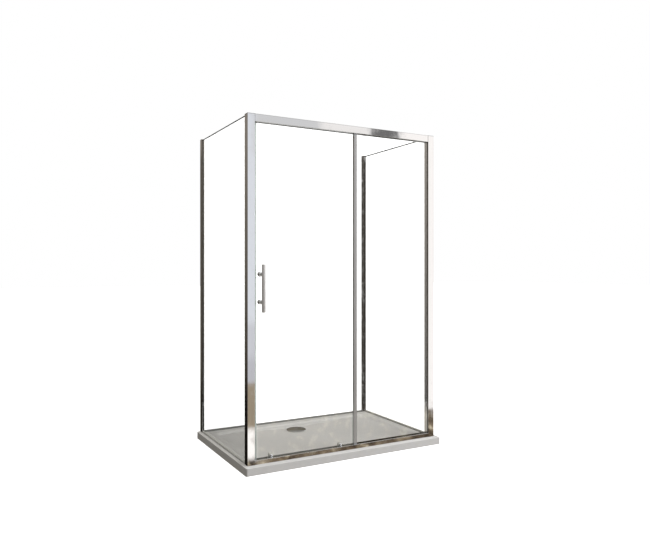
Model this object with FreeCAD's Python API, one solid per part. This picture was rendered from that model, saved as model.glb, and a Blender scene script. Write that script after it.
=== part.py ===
import FreeCAD, Part
import math
import os

# Three-sided shower enclosure with a sliding door, standing on its tray. Millimetres.
# X runs left to right along the front, -Y is the front, +Y the wall, +Z is up.
# The origin is the middle of the tray's underside.

Vector = FreeCAD.Vector

# ---------------------------------------------------------------- driving dimensions

# Tray
TRAY_LENGTH = 1200.0
TRAY_DEPTH = 800.0
TRAY_HEIGHT = 40.0
TRAY_CORNER = 8.0
TRAY_EDGE = 3.0
RIM_WIDTH = 85.0
RIM_SLOPE_WIDTH = 20.0
RIM_DROP = 10.0
FLOOR_FALL = 6.0
BASIN_CORNER = 45.0
BASIN_FOOT_CORNER = 25.0
WASTE_FLAT_MARGIN = 4.0

# Waste
WASTE_X = -35.0
WASTE_FROM_WALL = 197.0
WASTE_HOLE_RADIUS = 45.0
WASTE_RECESS_RADIUS = 57.0
WASTE_FLANGE_RADIUS = 56.0
WASTE_FLANGE_THICK = 2.0
WASTE_BORE_RADIUS = 37.0
WASTE_THROAT_RADIUS = 39.0
WASTE_WALL = 3.0
WASTE_GASKET_THICK = 1.5
LOCKNUT_RADIUS = 54.0
LOCKNUT_HEIGHT = 6.0
LOCKNUT_RECESS_RADIUS = 60.0
LOCKNUT_RECESS_DEPTH = 10.0
LOCKNUT_GRIPS = 8
LOCKNUT_GRIP_RADIUS = 5.0
BARREL_PAST_NUT = 1.0
COVER_RADIUS = 59.0
COVER_RISE = 4.0
COVER_EDGE = 1.6
COVER_SLOT = 3.0
COVER_LUG_RADIUS = 3.0
COVER_LUG_DEPTH = 8.0
COVER_LUGS = 3
LUG_CLEARANCE = 1.0

# Frame
ENCLOSURE_HEIGHT = 1750.0
SIDE_INSET = 20.0
FRONT_INSET = 35.0
POST_WIDTH = 40.0
FRAME_DEPTH = 40.0
HEADER_HEIGHT = 38.0
RAIL_HEIGHT = 22.0
WALL = 1.8
WEB = 1.6
EDGE_ROUND = 1.0
POST_CAP = 2.0
POST_PLUG_DEPTH = 10.0
CHANNEL_DEPTH = 14.0
MAGNET_CHANNEL_WIDTH = 10.0
MAGNET_CHANNEL_DEPTH = 8.0

# Glass and its gaskets
GLASS = 6.0
GASKET = 2.6
SIDE_GASKET = 1.7
GLASS_COVER = 12.0
GLASS_TOP_GAP = 5.0
SIDE_GLASS_TOP_GAP = 2.5
SIDE_GLASS_LIFT = 3.0
SILL_HEIGHT = 10.0
GASKET_DEPTH = 9.0
EDGE_GLASS_GAP = 1.0

# Fixed panel's upright bar, which stands at the doorway's right-hand edge
DOORWAY_WIDTH = 578.0
BAR_WIDTH = 18.0
BAR_WALL = 1.5
BAR_GASKET = 1.5
BAR_FOOT = 11.0
FIN_ABOVE_CAP = 3.0
FIN_INSET = 1.0
SETTING_BLOCK_LENGTH = 40.0
SETTING_BLOCK_HEIGHT = 2.4
SETTING_BLOCK_FROM_END = 50.0

# Wall profiles
WALL_CHANNEL_WIDTH = 20.0
WALL_CHANNEL_DEPTH = 28.0
SIDE_PROFILE_FORWARD = 8.0
SIDE_PROFILE_DEPTH = 28.0
SIDE_PROFILE_WALL = 1.6
SLIDE_CLEARANCE = 0.2
WALL_HOLE_RADIUS = 2.6
WALL_HOLE_SPACING = 700.0
ADJUST_SCREW_RADIUS = 1.75
ADJUST_HEAD_RADIUS = 3.5
ADJUST_HEAD_THICK = 2.0
ADJUST_CAP_RADIUS = 5.0
ADJUST_CAP_THICK = 3.4
ADJUST_CAP_ROUND = 1.0
ADJUST_FROM_BACK = 6.0

# Door
DOOR_GAP = 5.4
DOOR_CLOSING_GAP = 0.3
DOOR_OVERLAP = 14.0
DOOR_OPEN_CLEARANCE = 12.6
HANDLE_OPEN_CLEARANCE = 50.0
DOOR_TOP_GAP = 7.0
DOOR_BOTTOM_ABOVE_TRAY = 8.0
SEAL_LEG = 1.2
SEAL_WEB = 2.4
SEAL_GRIP = 10.0
SEAL_END_GAP = 2.0
TRAILING_TUBE_RADIUS = 3.0
MAGNET_STRIP_PROUD = 3.0
MAGNET_STRIP_STEP = 1.0
SOFT_GAP = 0.3
DRIP_GRIP = 8.0

# Rollers
ROLLER_FROM_EDGE = 90.0
TOP_WHEEL_RADIUS = 11.0
TOP_WHEEL_WIDTH = 6.0
TOP_GROOVE_DEPTH = 1.5
LOWER_WHEEL_RADIUS = 7.9
LOWER_WHEEL_WIDTH = 5.0
LOWER_GROOVE_DEPTH = 1.4
GROOVE_WIDTH = 2.2
BEAD_WIDTH = 1.6
TOP_BEAD_HEIGHT = 2.0
LEDGE_THICK = 2.0
LEDGE_FROM_DOOR = 3.0
RUN_CLEARANCE = 0.05
HUB_RADIUS = 6.0
HUB_THICK = 3.6
TOP_AXLE_RADIUS = 3.0
BEARING_RADIUS = 6.5
AXLE_HEAD = 0.8
AXLE_HEAD_LIP = 1.2
WASHER = 0.5
BOLT_SHANK_RADIUS = 4.0
GLASS_HOLE_RADIUS = 5.0
BOLT_SCREW_RADIUS = 2.5
BOLT_HEAD_THICK = 4.5
BOLT_HEAD_ROUND = 1.5
BOLT_END_GAP = 0.6
SOCKET_END_GAP = 0.4
TOP_BOLT_HEAD_RADIUS = 8.0
ROLLER_CAP_RADIUS = 9.0
ROLLER_CAP_ABOVE_RAIL = 6.0
BODY_ABOVE_RAIL = 0.5
BODY_ROUND = 2.0
BODY_BACK_WALL = 2.0
BODY_WIDTH = 24.0
BODY_DEPTH = 10.5
BODY_HEIGHT = 13.5
BODY_BOSS_RADIUS = 4.0
ARM_WIDTH = 16.0
ARM_THICK = 4.0
ARM_FROM_GLASS = 1.5
ARM_WINDOW = 9.0
ARM_CLEARANCE = 0.2
ARM_BELOW_AXLE = 5.0
WHEEL_FROM_ARM = 0.6
LOWER_AXLE_RADIUS = 2.0
BUTTON_WIDTH = 20.0
BUTTON_DEPTH = 9.0
BUTTON_THICK = 2.6
BUTTON_ROUND = 1.0
RELEASE_TRAVEL = 2.5
SPRING_RADIUS = 1.9
SPRING_WIRE = 0.5
SPRING_SPACING = 15.0
SPRING_SEAT = 3.0
STOP_LENGTH = 20.0
STOP_HEIGHT = 16.0

# Handle
HANDLE_FROM_EDGE = 31.0
HANDLE_RADIUS = 10.0
HANDLE_WALL = 1.5
HANDLE_LENGTH = 240.0
HANDLE_ABOVE_TRAY = 879.0
HANDLE_STANDOFF_SPACING = 140.0
HANDLE_REACH = 44.0
STANDOFF_RADIUS = 7.0
STANDOFF_FLANGE_RADIUS = 12.5
STANDOFF_FLANGE_THICK = 3.0
STANDOFF_FLANGE_ROUND = 1.0
HANDLE_WASHER = 1.0
INNER_CAP_THICK = 8.0
INNER_CAP_ROUND = 1.5
INNER_CAP_WALL = 3.0
HANDLE_BOLT_FROM_BAR = 10.0
HANDLE_BOLT_RADIUS = 3.0
HANDLE_PLUG_DEPTH = 8.0

# Corner blocks and screws
BLOCK_LENGTH = 24.0
BLOCK_FROM_DOOR = 3.4
BLOCK_UNDER_BEAD = 0.4
HEADER_BLOCK_HEIGHT = 30.0
HEADER_SCREW_SPACING = 14.0
SCREW_RADIUS = 2.0
SCREW_HEAD_RADIUS = 3.5
SCREW_HEAD_THICK = 2.5
SCREW_PAST_WALL = 6.0
SCREW_FIT = 0.05

# Strips
WALL_SEAL_DEPTH = 40.0
WALL_SEAL_THICK = 2.0
WALL_SEAL_LIP = 0.6
WALL_SEAL_TAPER = 6.0
INFILL_THICK = 1.4
INFILL_LEG = 6.0
FIT = 0.1

# ---------------------------------------------------------------- places worked out from them

# Tray
TRAY_FRONT = -TRAY_DEPTH / 2
WALL_Y = TRAY_DEPTH / 2
FLOOR_EDGE_Z = TRAY_HEIGHT - RIM_DROP
FLOOR_LOW_Z = FLOOR_EDGE_Z - FLOOR_FALL
WASTE_Y = WALL_Y - WASTE_FROM_WALL

# Frame
POST_OUTER_X = TRAY_LENGTH / 2 - SIDE_INSET
POST_INNER_X = POST_OUTER_X - POST_WIDTH
BAR_LEFT_X = -POST_INNER_X + DOORWAY_WIDTH
FRAME_FRONT = TRAY_FRONT + FRONT_INSET
FRAME_BACK = FRAME_FRONT + FRAME_DEPTH
FRAME_TOP = TRAY_HEIGHT + ENCLOSURE_HEIGHT
HEADER_BOTTOM = FRAME_TOP - HEADER_HEIGHT
HEADER_INSIDE_TOP = FRAME_TOP - WALL
RAIL_TOP = TRAY_HEIGHT + RAIL_HEIGHT
RAIL_INSIDE_BOTTOM = TRAY_HEIGHT + WEB

# Fixed panel's glazing channel, from the front face backwards
CHANNEL_FRONT = FRAME_FRONT + WALL
FIXED_GLASS_FRONT = CHANNEL_FRONT + GASKET
FIXED_GLASS_BACK = FIXED_GLASS_FRONT + GLASS
CHANNEL_BACK = FIXED_GLASS_BACK + GASKET
PARTITION_BACK = CHANNEL_BACK + WEB
GLASS_TOP = FRAME_TOP - GLASS_TOP_GAP
FIXED_GLASS_BOTTOM = RAIL_INSIDE_BOTTOM + SETTING_BLOCK_HEIGHT

# Door glass, behind the partition
DOOR_FRONT = PARTITION_BACK + DOOR_GAP
DOOR_BACK = DOOR_FRONT + GLASS
MAGNET_STRIP_X = -POST_INNER_X + MAGNET_STRIP_PROUD
DOOR_LEFT_X = MAGNET_STRIP_X + DOOR_CLOSING_GAP + SEAL_WEB
DOOR_RIGHT_X = BAR_LEFT_X + DOOR_OVERLAP
DOOR_TOP = FRAME_TOP - DOOR_TOP_GAP
DOOR_BOTTOM = TRAY_HEIGHT + DOOR_BOTTOM_ABOVE_TRAY
SEAL_BOTTOM = RAIL_TOP + SEAL_END_GAP
SEAL_TOP = HEADER_BOTTOM - SEAL_END_GAP

# Upper track and wheels
ROLLER_X = [DOOR_LEFT_X + ROLLER_FROM_EDGE, DOOR_RIGHT_X - ROLLER_FROM_EDGE]
SIDES = ["left", "right"]
HUB_BACK = DOOR_BACK + WASHER + HUB_THICK
TOP_WHEEL_FRONT = HUB_BACK + 2 * RUN_CLEARANCE
TOP_WHEEL_BACK = TOP_WHEEL_FRONT + TOP_WHEEL_WIDTH
TOP_BEAD_Y = TOP_WHEEL_FRONT + TOP_WHEEL_WIDTH / 2
LEDGE_TOP = HEADER_BOTTOM + LEDGE_THICK
TOP_BEAD_TOP = LEDGE_TOP + TOP_BEAD_HEIGHT
TOP_GROOVE_RADIUS = TOP_WHEEL_RADIUS - TOP_GROOVE_DEPTH
TOP_AXLE_Z = TOP_BEAD_TOP + TOP_GROOVE_RADIUS + RUN_CLEARANCE

# Lower track and wheels
ARM_FRONT = DOOR_BACK + ARM_FROM_GLASS
ARM_BACK = ARM_FRONT + ARM_THICK
LOWER_WHEEL_FRONT = ARM_BACK + WHEEL_FROM_ARM
LOWER_WHEEL_BACK = LOWER_WHEEL_FRONT + LOWER_WHEEL_WIDTH
LOWER_BEAD_Y = LOWER_WHEEL_FRONT + LOWER_WHEEL_WIDTH / 2
LOWER_BEAD_BOTTOM = RAIL_TOP - 2 * WEB
LOWER_GROOVE_RADIUS = LOWER_WHEEL_RADIUS - LOWER_GROOVE_DEPTH
LOWER_AXLE_Z = LOWER_BEAD_BOTTOM - LOWER_GROOVE_RADIUS - RUN_CLEARANCE
BOLT_Z = RAIL_TOP + ROLLER_CAP_ABOVE_RAIL
BODY_BOTTOM = RAIL_TOP + BODY_ABOVE_RAIL
BODY_TOP = BODY_BOTTOM + BODY_HEIGHT
BODY_FRONT = DOOR_BACK + WASHER
BUTTON_BOTTOM = BODY_TOP + RELEASE_TRAVEL + ARM_CLEARANCE
SPRING_BOTTOM = BODY_BOTTOM + SPRING_SEAT

# Wall profiles, written for the left side
LEFT_OUTER_X = -POST_OUTER_X
SIDE_CHANNEL_LEFT = LEFT_OUTER_X + WALL + SLIDE_CLEARANCE + SIDE_PROFILE_WALL
SIDE_GLASS_LEFT = SIDE_CHANNEL_LEFT + SIDE_GASKET
SIDE_GLASS_RIGHT = SIDE_GLASS_LEFT + GLASS
SIDE_CHANNEL_RIGHT = SIDE_GLASS_RIGHT + SIDE_GASKET
WALL_CHANNEL_FRONT = WALL_Y - WALL_CHANNEL_DEPTH
WALL_CHANNEL_INNER_X = LEFT_OUTER_X + WALL_CHANNEL_WIDTH
SIDE_PROFILE_FRONT = WALL_CHANNEL_FRONT - SIDE_PROFILE_FORWARD
SIDE_PROFILE_BACK = SIDE_PROFILE_FRONT + SIDE_PROFILE_DEPTH
SIDE_GLASS_FRONT = FRAME_BACK - GLASS_COVER
SIDE_GLASS_BACK = SIDE_PROFILE_FRONT + GLASS_COVER
SIDE_GLASS_BOTTOM = TRAY_HEIGHT + SIDE_GLASS_LIFT
SIDE_GLASS_TOP = FRAME_TOP - SIDE_GLASS_TOP_GAP
MID_HEIGHT = TRAY_HEIGHT + ENCLOSURE_HEIGHT / 2
FIXING_HEIGHTS = [MID_HEIGHT - WALL_HOLE_SPACING, MID_HEIGHT, MID_HEIGHT + WALL_HOLE_SPACING]

# Handle
HANDLE_X = DOOR_LEFT_X + HANDLE_FROM_EDGE
HANDLE_Y = DOOR_FRONT - HANDLE_REACH
HANDLE_MID_Z = TRAY_HEIGHT + HANDLE_ABOVE_TRAY
HANDLE_BOTTOM = HANDLE_MID_Z - HANDLE_LENGTH / 2
HANDLE_TOP = HANDLE_MID_Z + HANDLE_LENGTH / 2
STANDOFF_HEIGHTS = [
    HANDLE_MID_Z - HANDLE_STANDOFF_SPACING / 2,
    HANDLE_MID_Z + HANDLE_STANDOFF_SPACING / 2,
]

# The door opens until its seal nears the right post, or until its handle nears the upright bar
ROOM_TO_POST = POST_INNER_X - DOOR_OPEN_CLEARANCE - (DOOR_RIGHT_X + SEAL_WEB + TRAILING_TUBE_RADIUS)
ROOM_TO_BAR = BAR_LEFT_X - HANDLE_OPEN_CLEARANCE - (HANDLE_X + STANDOFF_FLANGE_RADIUS)
DOOR_TRAVEL = min(ROOM_TO_POST, ROOM_TO_BAR)

# ---------------------------------------------------------------- basic shapes

# How far a cut runs past the face it opens, and how near a face an edge has to be to count as on it
PAST = 5.0
NEAR = 0.1

X_AXIS = Vector(1, 0, 0)
Y_AXIS = Vector(0, 1, 0)
Z_AXIS = Vector(0, 0, 1)


def box(x0, x1, y0, y1, z0, z1):
    """A block between two corners."""
    return Part.makeBox(x1 - x0, y1 - y0, z1 - z0, Vector(x0, y0, z0))


def rod_z(x, y, radius, z0, z1):
    """An upright cylinder."""
    return Part.makeCylinder(radius, z1 - z0, Vector(x, y, z0), Z_AXIS)


def rod_y(x, z, radius, y0, y1):
    """A cylinder that runs front to back."""
    return Part.makeCylinder(radius, y1 - y0, Vector(x, y0, z), Y_AXIS)


def rod_x(y, z, radius, x0, x1):
    """A cylinder that runs left to right."""
    return Part.makeCylinder(radius, x1 - x0, Vector(x0, y, z), X_AXIS)


def ring_y(x, z, outer, inner, y0, y1):
    """A flat ring or a bush whose axis runs front to back."""
    return rod_y(x, z, outer, y0, y1).cut(rod_y(x, z, inner, y0, y1))


def ring_z(x, y, outer, inner, z0, z1):
    """A flat ring or a tube whose axis is upright."""
    return rod_z(x, y, outer, z0, z1).cut(rod_z(x, y, inner, z0, z1))


def edges_along(shape, axis):
    """The straight edges of a shape that run along an axis."""
    found = []
    for edge in shape.Edges:
        straight = edge.Curve.TypeId == "Part::GeomLine"
        if straight and abs(edge.tangentAt(edge.FirstParameter).dot(axis)) > 0.999:
            found.append(edge)
    return found


def rounded_bar(x0, x1, y0, y1, z0, z1, axis, radius):
    """A block whose four edges along one axis are rounded, as an extrusion's are."""
    bar = box(x0, x1, y0, y1, z0, z1)
    return bar.makeFillet(radius, edges_along(bar, axis))


def rounded_rectangle(x0, x1, y0, y1, z, radius):
    """A level rectangle with rounded corners, as a wire that starts at the same corner each time."""
    points = [
        Vector(x0 + radius, y0, z),
        Vector(x1 - radius, y0, z),
        Vector(x1, y0 + radius, z),
        Vector(x1, y1 - radius, z),
        Vector(x1 - radius, y1, z),
        Vector(x0 + radius, y1, z),
        Vector(x0, y1 - radius, z),
        Vector(x0, y0 + radius, z),
    ]
    bulge = radius * (1 - math.sqrt(0.5))
    middles = [
        Vector(x1 - bulge, y0 + bulge, z),
        Vector(x1 - bulge, y1 - bulge, z),
        Vector(x0 + bulge, y1 - bulge, z),
        Vector(x0 + bulge, y0 + bulge, z),
    ]
    edges = []
    for side in range(4):
        start = points[2 * side]
        end = points[2 * side + 1]
        after = points[(2 * side + 2) % 8]
        edges.append(Part.LineSegment(start, end).toShape())
        edges.append(Part.Arc(end, middles[side], after).toShape())
    return Part.Wire(edges)


def mirrored(shape):
    """The same piece on the other side of the enclosure."""
    return shape.mirror(Vector(0, 0, 0), X_AXIS)


def group(shapes):
    """Like pieces that share one node, as separate solids."""
    return Part.makeCompound(shapes)


def softened(shape, radius, keep):
    """Rounds the edges of a shape that a test picks."""
    return shape.makeFillet(radius, [edge for edge in shape.Edges if keep(edge)])


# ---------------------------------------------------------------- tray and waste


def make_tray():
    """The tray: a slab with a recessed floor that falls to the waste in four planes."""
    slab = box(-TRAY_LENGTH / 2, TRAY_LENGTH / 2, TRAY_FRONT, WALL_Y, 0, TRAY_HEIGHT)
    slab = slab.makeFillet(TRAY_CORNER, edges_along(slab, Z_AXIS))
    top_edges = [edge for edge in slab.Edges if edge.BoundBox.ZMin > TRAY_HEIGHT - NEAR]
    slab = slab.makeFillet(TRAY_EDGE, top_edges)

    half_length = TRAY_LENGTH / 2 - RIM_WIDTH
    half_depth = TRAY_DEPTH / 2 - RIM_WIDTH
    run = RIM_SLOPE_WIDTH
    spread = run * PAST / RIM_DROP
    mouth = rounded_rectangle(
        -half_length - spread, half_length + spread, -half_depth - spread, half_depth + spread,
        TRAY_HEIGHT + PAST, BASIN_CORNER + spread,
    )
    foot = rounded_rectangle(
        -half_length + run, half_length - run, -half_depth + run, half_depth - run,
        FLOOR_EDGE_Z, BASIN_FOOT_CORNER,
    )
    reach = WASTE_RECESS_RADIUS + WASTE_FLAT_MARGIN
    low = rounded_rectangle(
        WASTE_X - reach, WASTE_X + reach, WASTE_Y - reach, WASTE_Y + reach,
        FLOOR_LOW_Z, BASIN_FOOT_CORNER,
    )
    slope = Part.makeLoft([mouth, foot], True, True)
    fall = Part.makeLoft([foot, low], True, True)

    flange_seat = FLOOR_LOW_Z - WASTE_FLANGE_THICK - WASTE_GASKET_THICK
    recess = rod_z(WASTE_X, WASTE_Y, WASTE_RECESS_RADIUS, flange_seat, TRAY_HEIGHT)
    hole = rod_z(WASTE_X, WASTE_Y, WASTE_HOLE_RADIUS, 0, TRAY_HEIGHT)
    under = rod_z(WASTE_X, WASTE_Y, LOCKNUT_RECESS_RADIUS, 0, LOCKNUT_RECESS_DEPTH)
    return slab.cut([slope, fall, recess, hole, under])


def make_tray_wall_seal():
    """The flat strip on the rim that closes the joint to the wall, between the two wall channels."""
    bottom = TRAY_HEIGHT
    top = TRAY_HEIGHT + WALL_SEAL_THICK
    x0 = WALL_CHANNEL_INNER_X
    front = WALL_Y - WALL_SEAL_DEPTH
    points = [
        Vector(x0, front, bottom),
        Vector(x0, front, bottom + WALL_SEAL_LIP),
        Vector(x0, front + WALL_SEAL_TAPER, top),
        Vector(x0, WALL_Y, top),
        Vector(x0, WALL_Y, bottom),
        Vector(x0, front, bottom),
    ]
    face = Part.Face(Part.makePolygon(points))
    return face.extrude(Vector(-2 * x0, 0, 0))


def make_waste():
    """The waste: flanged body, gasket under the flange, nut under the tray, and the cover."""
    flange_top = FLOOR_LOW_Z
    flange_bottom = flange_top - WASTE_FLANGE_THICK
    gasket_bottom = flange_bottom - WASTE_GASKET_THICK
    body_radius = WASTE_BORE_RADIUS + WASTE_WALL
    nut_top = LOCKNUT_RECESS_DEPTH
    body_bottom = nut_top - LOCKNUT_HEIGHT - BARREL_PAST_NUT

    throat_bottom = flange_top - COVER_LUG_DEPTH - LUG_CLEARANCE
    throat_wall = WASTE_THROAT_RADIUS + WASTE_WALL

    flange = ring_z(WASTE_X, WASTE_Y, WASTE_FLANGE_RADIUS, WASTE_THROAT_RADIUS, flange_bottom, flange_top)
    throat = ring_z(WASTE_X, WASTE_Y, throat_wall, WASTE_THROAT_RADIUS, throat_bottom, flange_bottom)
    shelf = ring_z(
        WASTE_X, WASTE_Y, throat_wall, WASTE_BORE_RADIUS, throat_bottom - WASTE_WALL, throat_bottom
    )
    barrel = ring_z(WASTE_X, WASTE_Y, body_radius, WASTE_BORE_RADIUS, body_bottom, throat_bottom)
    gasket = ring_z(
        WASTE_X, WASTE_Y, WASTE_FLANGE_RADIUS, WASTE_HOLE_RADIUS, gasket_bottom, flange_bottom
    )
    nut = ring_z(
        WASTE_X, WASTE_Y, LOCKNUT_RADIUS, body_radius + SCREW_FIT, nut_top - LOCKNUT_HEIGHT, nut_top
    )
    for turn in range(LOCKNUT_GRIPS):
        angle = 2 * math.pi * turn / LOCKNUT_GRIPS
        x = WASTE_X + LOCKNUT_RADIUS * math.cos(angle)
        y = WASTE_Y + LOCKNUT_RADIUS * math.sin(angle)
        nut = nut.cut(rod_z(x, y, LOCKNUT_GRIP_RADIUS, 0, nut_top))

    cover_bottom = flange_top + COVER_SLOT
    crown = cover_bottom + COVER_EDGE
    sphere_radius = (COVER_RADIUS ** 2 + COVER_RISE ** 2) / (2 * COVER_RISE)
    dome = Part.makeSphere(sphere_radius, Vector(WASTE_X, WASTE_Y, crown + COVER_RISE - sphere_radius))
    disc = rod_z(WASTE_X, WASTE_Y, COVER_RADIUS, cover_bottom, crown + 2 * COVER_RISE)
    cover = disc.common(dome.fuse(rod_z(WASTE_X, WASTE_Y, COVER_RADIUS, cover_bottom, crown)))
    lug_x = WASTE_THROAT_RADIUS - COVER_LUG_RADIUS - SOFT_GAP
    foot_x = (WASTE_THROAT_RADIUS + WASTE_FLANGE_RADIUS) / 2
    for turn in range(COVER_LUGS):
        angle = math.pi / 2 + 2 * math.pi * turn / COVER_LUGS
        lug = rod_z(
            WASTE_X + lug_x * math.cos(angle), WASTE_Y + lug_x * math.sin(angle),
            COVER_LUG_RADIUS, flange_top - COVER_LUG_DEPTH, cover_bottom,
        )
        foot = rod_z(
            WASTE_X + foot_x * math.cos(angle), WASTE_Y + foot_x * math.sin(angle),
            COVER_LUG_RADIUS, flange_top, cover_bottom,
        )
        cover = cover.fuse([lug, foot])
    return {
        "waste_flange": flange.fuse([throat, shelf, barrel]).removeSplitter(),
        "waste_gasket": gasket,
        "waste_locknut": nut,
        "waste_cover": cover.removeSplitter(),
    }


# ---------------------------------------------------------------- posts, header and bottom rail


def post_shell():
    """The left corner post without its front channels: a box with the side glass's channel at its back."""
    x0 = LEFT_OUTER_X
    x1 = x0 + POST_WIDTH
    top = FRAME_TOP - POST_CAP
    outer = rounded_bar(x0, x1, FRAME_FRONT, FRAME_BACK, TRAY_HEIGHT, top, Z_AXIS, EDGE_ROUND)
    hollow = box(x0 + WALL, x1 - WALL, FRAME_FRONT + WALL, FRAME_BACK - WALL, TRAY_HEIGHT, top)
    web = box(
        x0 + WALL, SIDE_CHANNEL_RIGHT + WEB, FRAME_BACK - CHANNEL_DEPTH - WEB, FRAME_BACK - WALL,
        TRAY_HEIGHT, top,
    )
    channel = box(
        SIDE_CHANNEL_LEFT, SIDE_CHANNEL_RIGHT, FRAME_BACK - CHANNEL_DEPTH, FRAME_BACK, TRAY_HEIGHT, top
    )
    return outer.cut(hollow.cut(web)).cut(channel)


def with_front_channel(post, y0, y1, depth):
    """Adds a channel that opens towards the doorway to a post, between two depths from the front."""
    x1 = LEFT_OUTER_X + POST_WIDTH
    top = FRAME_TOP - POST_CAP
    block = box(x1 - depth - WEB, x1 - WALL / 2, y0 - WEB, y1 + WEB, TRAY_HEIGHT, top)
    front = box(x1 - depth - WEB, x1 - WALL / 2, FRAME_FRONT + WALL / 2, y1 + WEB, TRAY_HEIGHT, top)
    filled = post.fuse(front if y0 - WEB < FRAME_FRONT + WALL else block)
    return filled.cut(box(x1 - depth, x1, y0, y1, TRAY_HEIGHT, top)).removeSplitter()


def screw_holes(heights, y, x0, x1):
    """Holes for screws that run left to right."""
    return [rod_x(y, z, SCREW_RADIUS + SCREW_FIT, x0, x1) for z in heights]


MAGNET_Y = (DOOR_FRONT + DOOR_BACK) / 2
BLOCK_FRONT = DOOR_BACK + BLOCK_FROM_DOOR
BLOCK_BACK = FRAME_BACK - WALL
SCREW_Y = (BLOCK_FRONT + BLOCK_BACK) / 2
HEADER_BLOCK_BOTTOM = TOP_BEAD_TOP
HEADER_BLOCK_TOP = HEADER_BLOCK_BOTTOM + HEADER_BLOCK_HEIGHT
HEADER_BLOCK_MID = (HEADER_BLOCK_BOTTOM + HEADER_BLOCK_TOP) / 2
HEADER_SCREW_HEIGHTS = [
    HEADER_BLOCK_MID - HEADER_SCREW_SPACING / 2, HEADER_BLOCK_MID + HEADER_SCREW_SPACING / 2
]
RAIL_BLOCK_TOP = LOWER_BEAD_BOTTOM - BLOCK_UNDER_BEAD
RAIL_SCREW_HEIGHTS = [(RAIL_INSIDE_BOTTOM + RAIL_BLOCK_TOP) / 2]


def make_posts():
    """The left post takes the door's magnetic strip, the right post the fixed glass's edge."""
    heights = HEADER_SCREW_HEIGHTS + RAIL_SCREW_HEIGHTS
    holes = screw_holes(heights, SCREW_Y, -POST_INNER_X - 2 * WALL, -POST_INNER_X)
    left = with_front_channel(
        post_shell(), MAGNET_Y - MAGNET_CHANNEL_WIDTH / 2, MAGNET_Y + MAGNET_CHANNEL_WIDTH / 2,
        MAGNET_CHANNEL_DEPTH,
    )
    right = with_front_channel(post_shell(), CHANNEL_FRONT, CHANNEL_BACK, CHANNEL_DEPTH)
    return {"post_left": left.cut(holes), "post_right": mirrored(right.cut(holes))}


def make_post_caps():
    """Flat end caps, each with a plug that sits in the post's main hollow."""
    x0 = LEFT_OUTER_X
    x1 = x0 + POST_WIDTH
    cap = rounded_bar(x0, x1, FRAME_FRONT, FRAME_BACK, FRAME_TOP - POST_CAP, FRAME_TOP, Z_AXIS, EDGE_ROUND)
    plug_left = SIDE_CHANNEL_RIGHT + WEB + FIT
    plug_right = x1 - CHANNEL_DEPTH - WEB - FIT
    plug = box(
        plug_left, plug_right, PARTITION_BACK + FIT, FRAME_BACK - WALL - FIT,
        FRAME_TOP - POST_CAP - POST_PLUG_DEPTH, FRAME_TOP - POST_CAP,
    )
    cap = cap.fuse(plug)
    return group([cap, mirrored(cap)])


def make_header():
    """The header: a box open below, with the glazing channel in front and the wheels' track behind."""
    x0 = -POST_INNER_X
    x1 = POST_INNER_X
    outer = rounded_bar(x0, x1, FRAME_FRONT, FRAME_BACK, HEADER_BOTTOM, FRAME_TOP, X_AXIS, EDGE_ROUND)
    glazing = box(x0, x1, CHANNEL_FRONT, CHANNEL_BACK, HEADER_BOTTOM, HEADER_INSIDE_TOP)
    ledge_front = DOOR_BACK + LEDGE_FROM_DOOR
    throat = box(x0, x1, PARTITION_BACK, ledge_front, HEADER_BOTTOM, HEADER_INSIDE_TOP)
    track = box(x0, x1, ledge_front, FRAME_BACK - WALL, LEDGE_TOP, HEADER_INSIDE_TOP)
    bead = box(
        x0, x1, TOP_BEAD_Y - BEAD_WIDTH / 2, TOP_BEAD_Y + BEAD_WIDTH / 2, LEDGE_TOP, TOP_BEAD_TOP
    )
    return outer.cut([glazing, throat, track]).fuse(bead).removeSplitter()


def make_bottom_rail():
    """The bottom rail: open above, with a hooked lip at the back that the lower wheels run under."""
    x0 = -POST_INNER_X
    x1 = POST_INNER_X
    outer = rounded_bar(x0, x1, FRAME_FRONT, FRAME_BACK, TRAY_HEIGHT, RAIL_TOP, X_AXIS, EDGE_ROUND)
    glazing = box(x0, x1, CHANNEL_FRONT, CHANNEL_BACK, RAIL_INSIDE_BOTTOM, RAIL_TOP)
    lip_front = LOWER_BEAD_Y - BEAD_WIDTH / 2
    throat = box(x0, x1, PARTITION_BACK, lip_front, RAIL_INSIDE_BOTTOM, RAIL_TOP)
    under_lip = box(x0, x1, lip_front, FRAME_BACK - WEB, RAIL_INSIDE_BOTTOM, RAIL_TOP - WEB)
    bead = box(x0, x1, lip_front, lip_front + BEAD_WIDTH, LOWER_BEAD_BOTTOM, RAIL_TOP - WEB)
    return outer.cut([glazing, throat, under_lip]).fuse(bead).removeSplitter()


def make_infills():
    """Strips that close the rails' glazing channels where the doorway is."""
    x0 = -POST_INNER_X
    x1 = BAR_LEFT_X
    y0 = CHANNEL_FRONT + FIT
    y1 = CHANNEL_BACK - FIT
    lower = box(x0, x1, y0, y1, RAIL_TOP - INFILL_LEG, RAIL_TOP)
    lower = lower.cut(
        box(
            x0, x1, y0 + INFILL_THICK, y1 - INFILL_THICK, RAIL_TOP - INFILL_LEG, RAIL_TOP - INFILL_THICK
        )
    )
    upper = box(x0, x1, y0, y1, HEADER_BOTTOM, HEADER_BOTTOM + INFILL_LEG)
    upper = upper.cut(
        box(
            x0, x1, y0 + INFILL_THICK, y1 - INFILL_THICK,
            HEADER_BOTTOM + INFILL_THICK, HEADER_BOTTOM + INFILL_LEG,
        )
    )
    return {"header_infill": upper, "rail_infill": lower}


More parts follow.
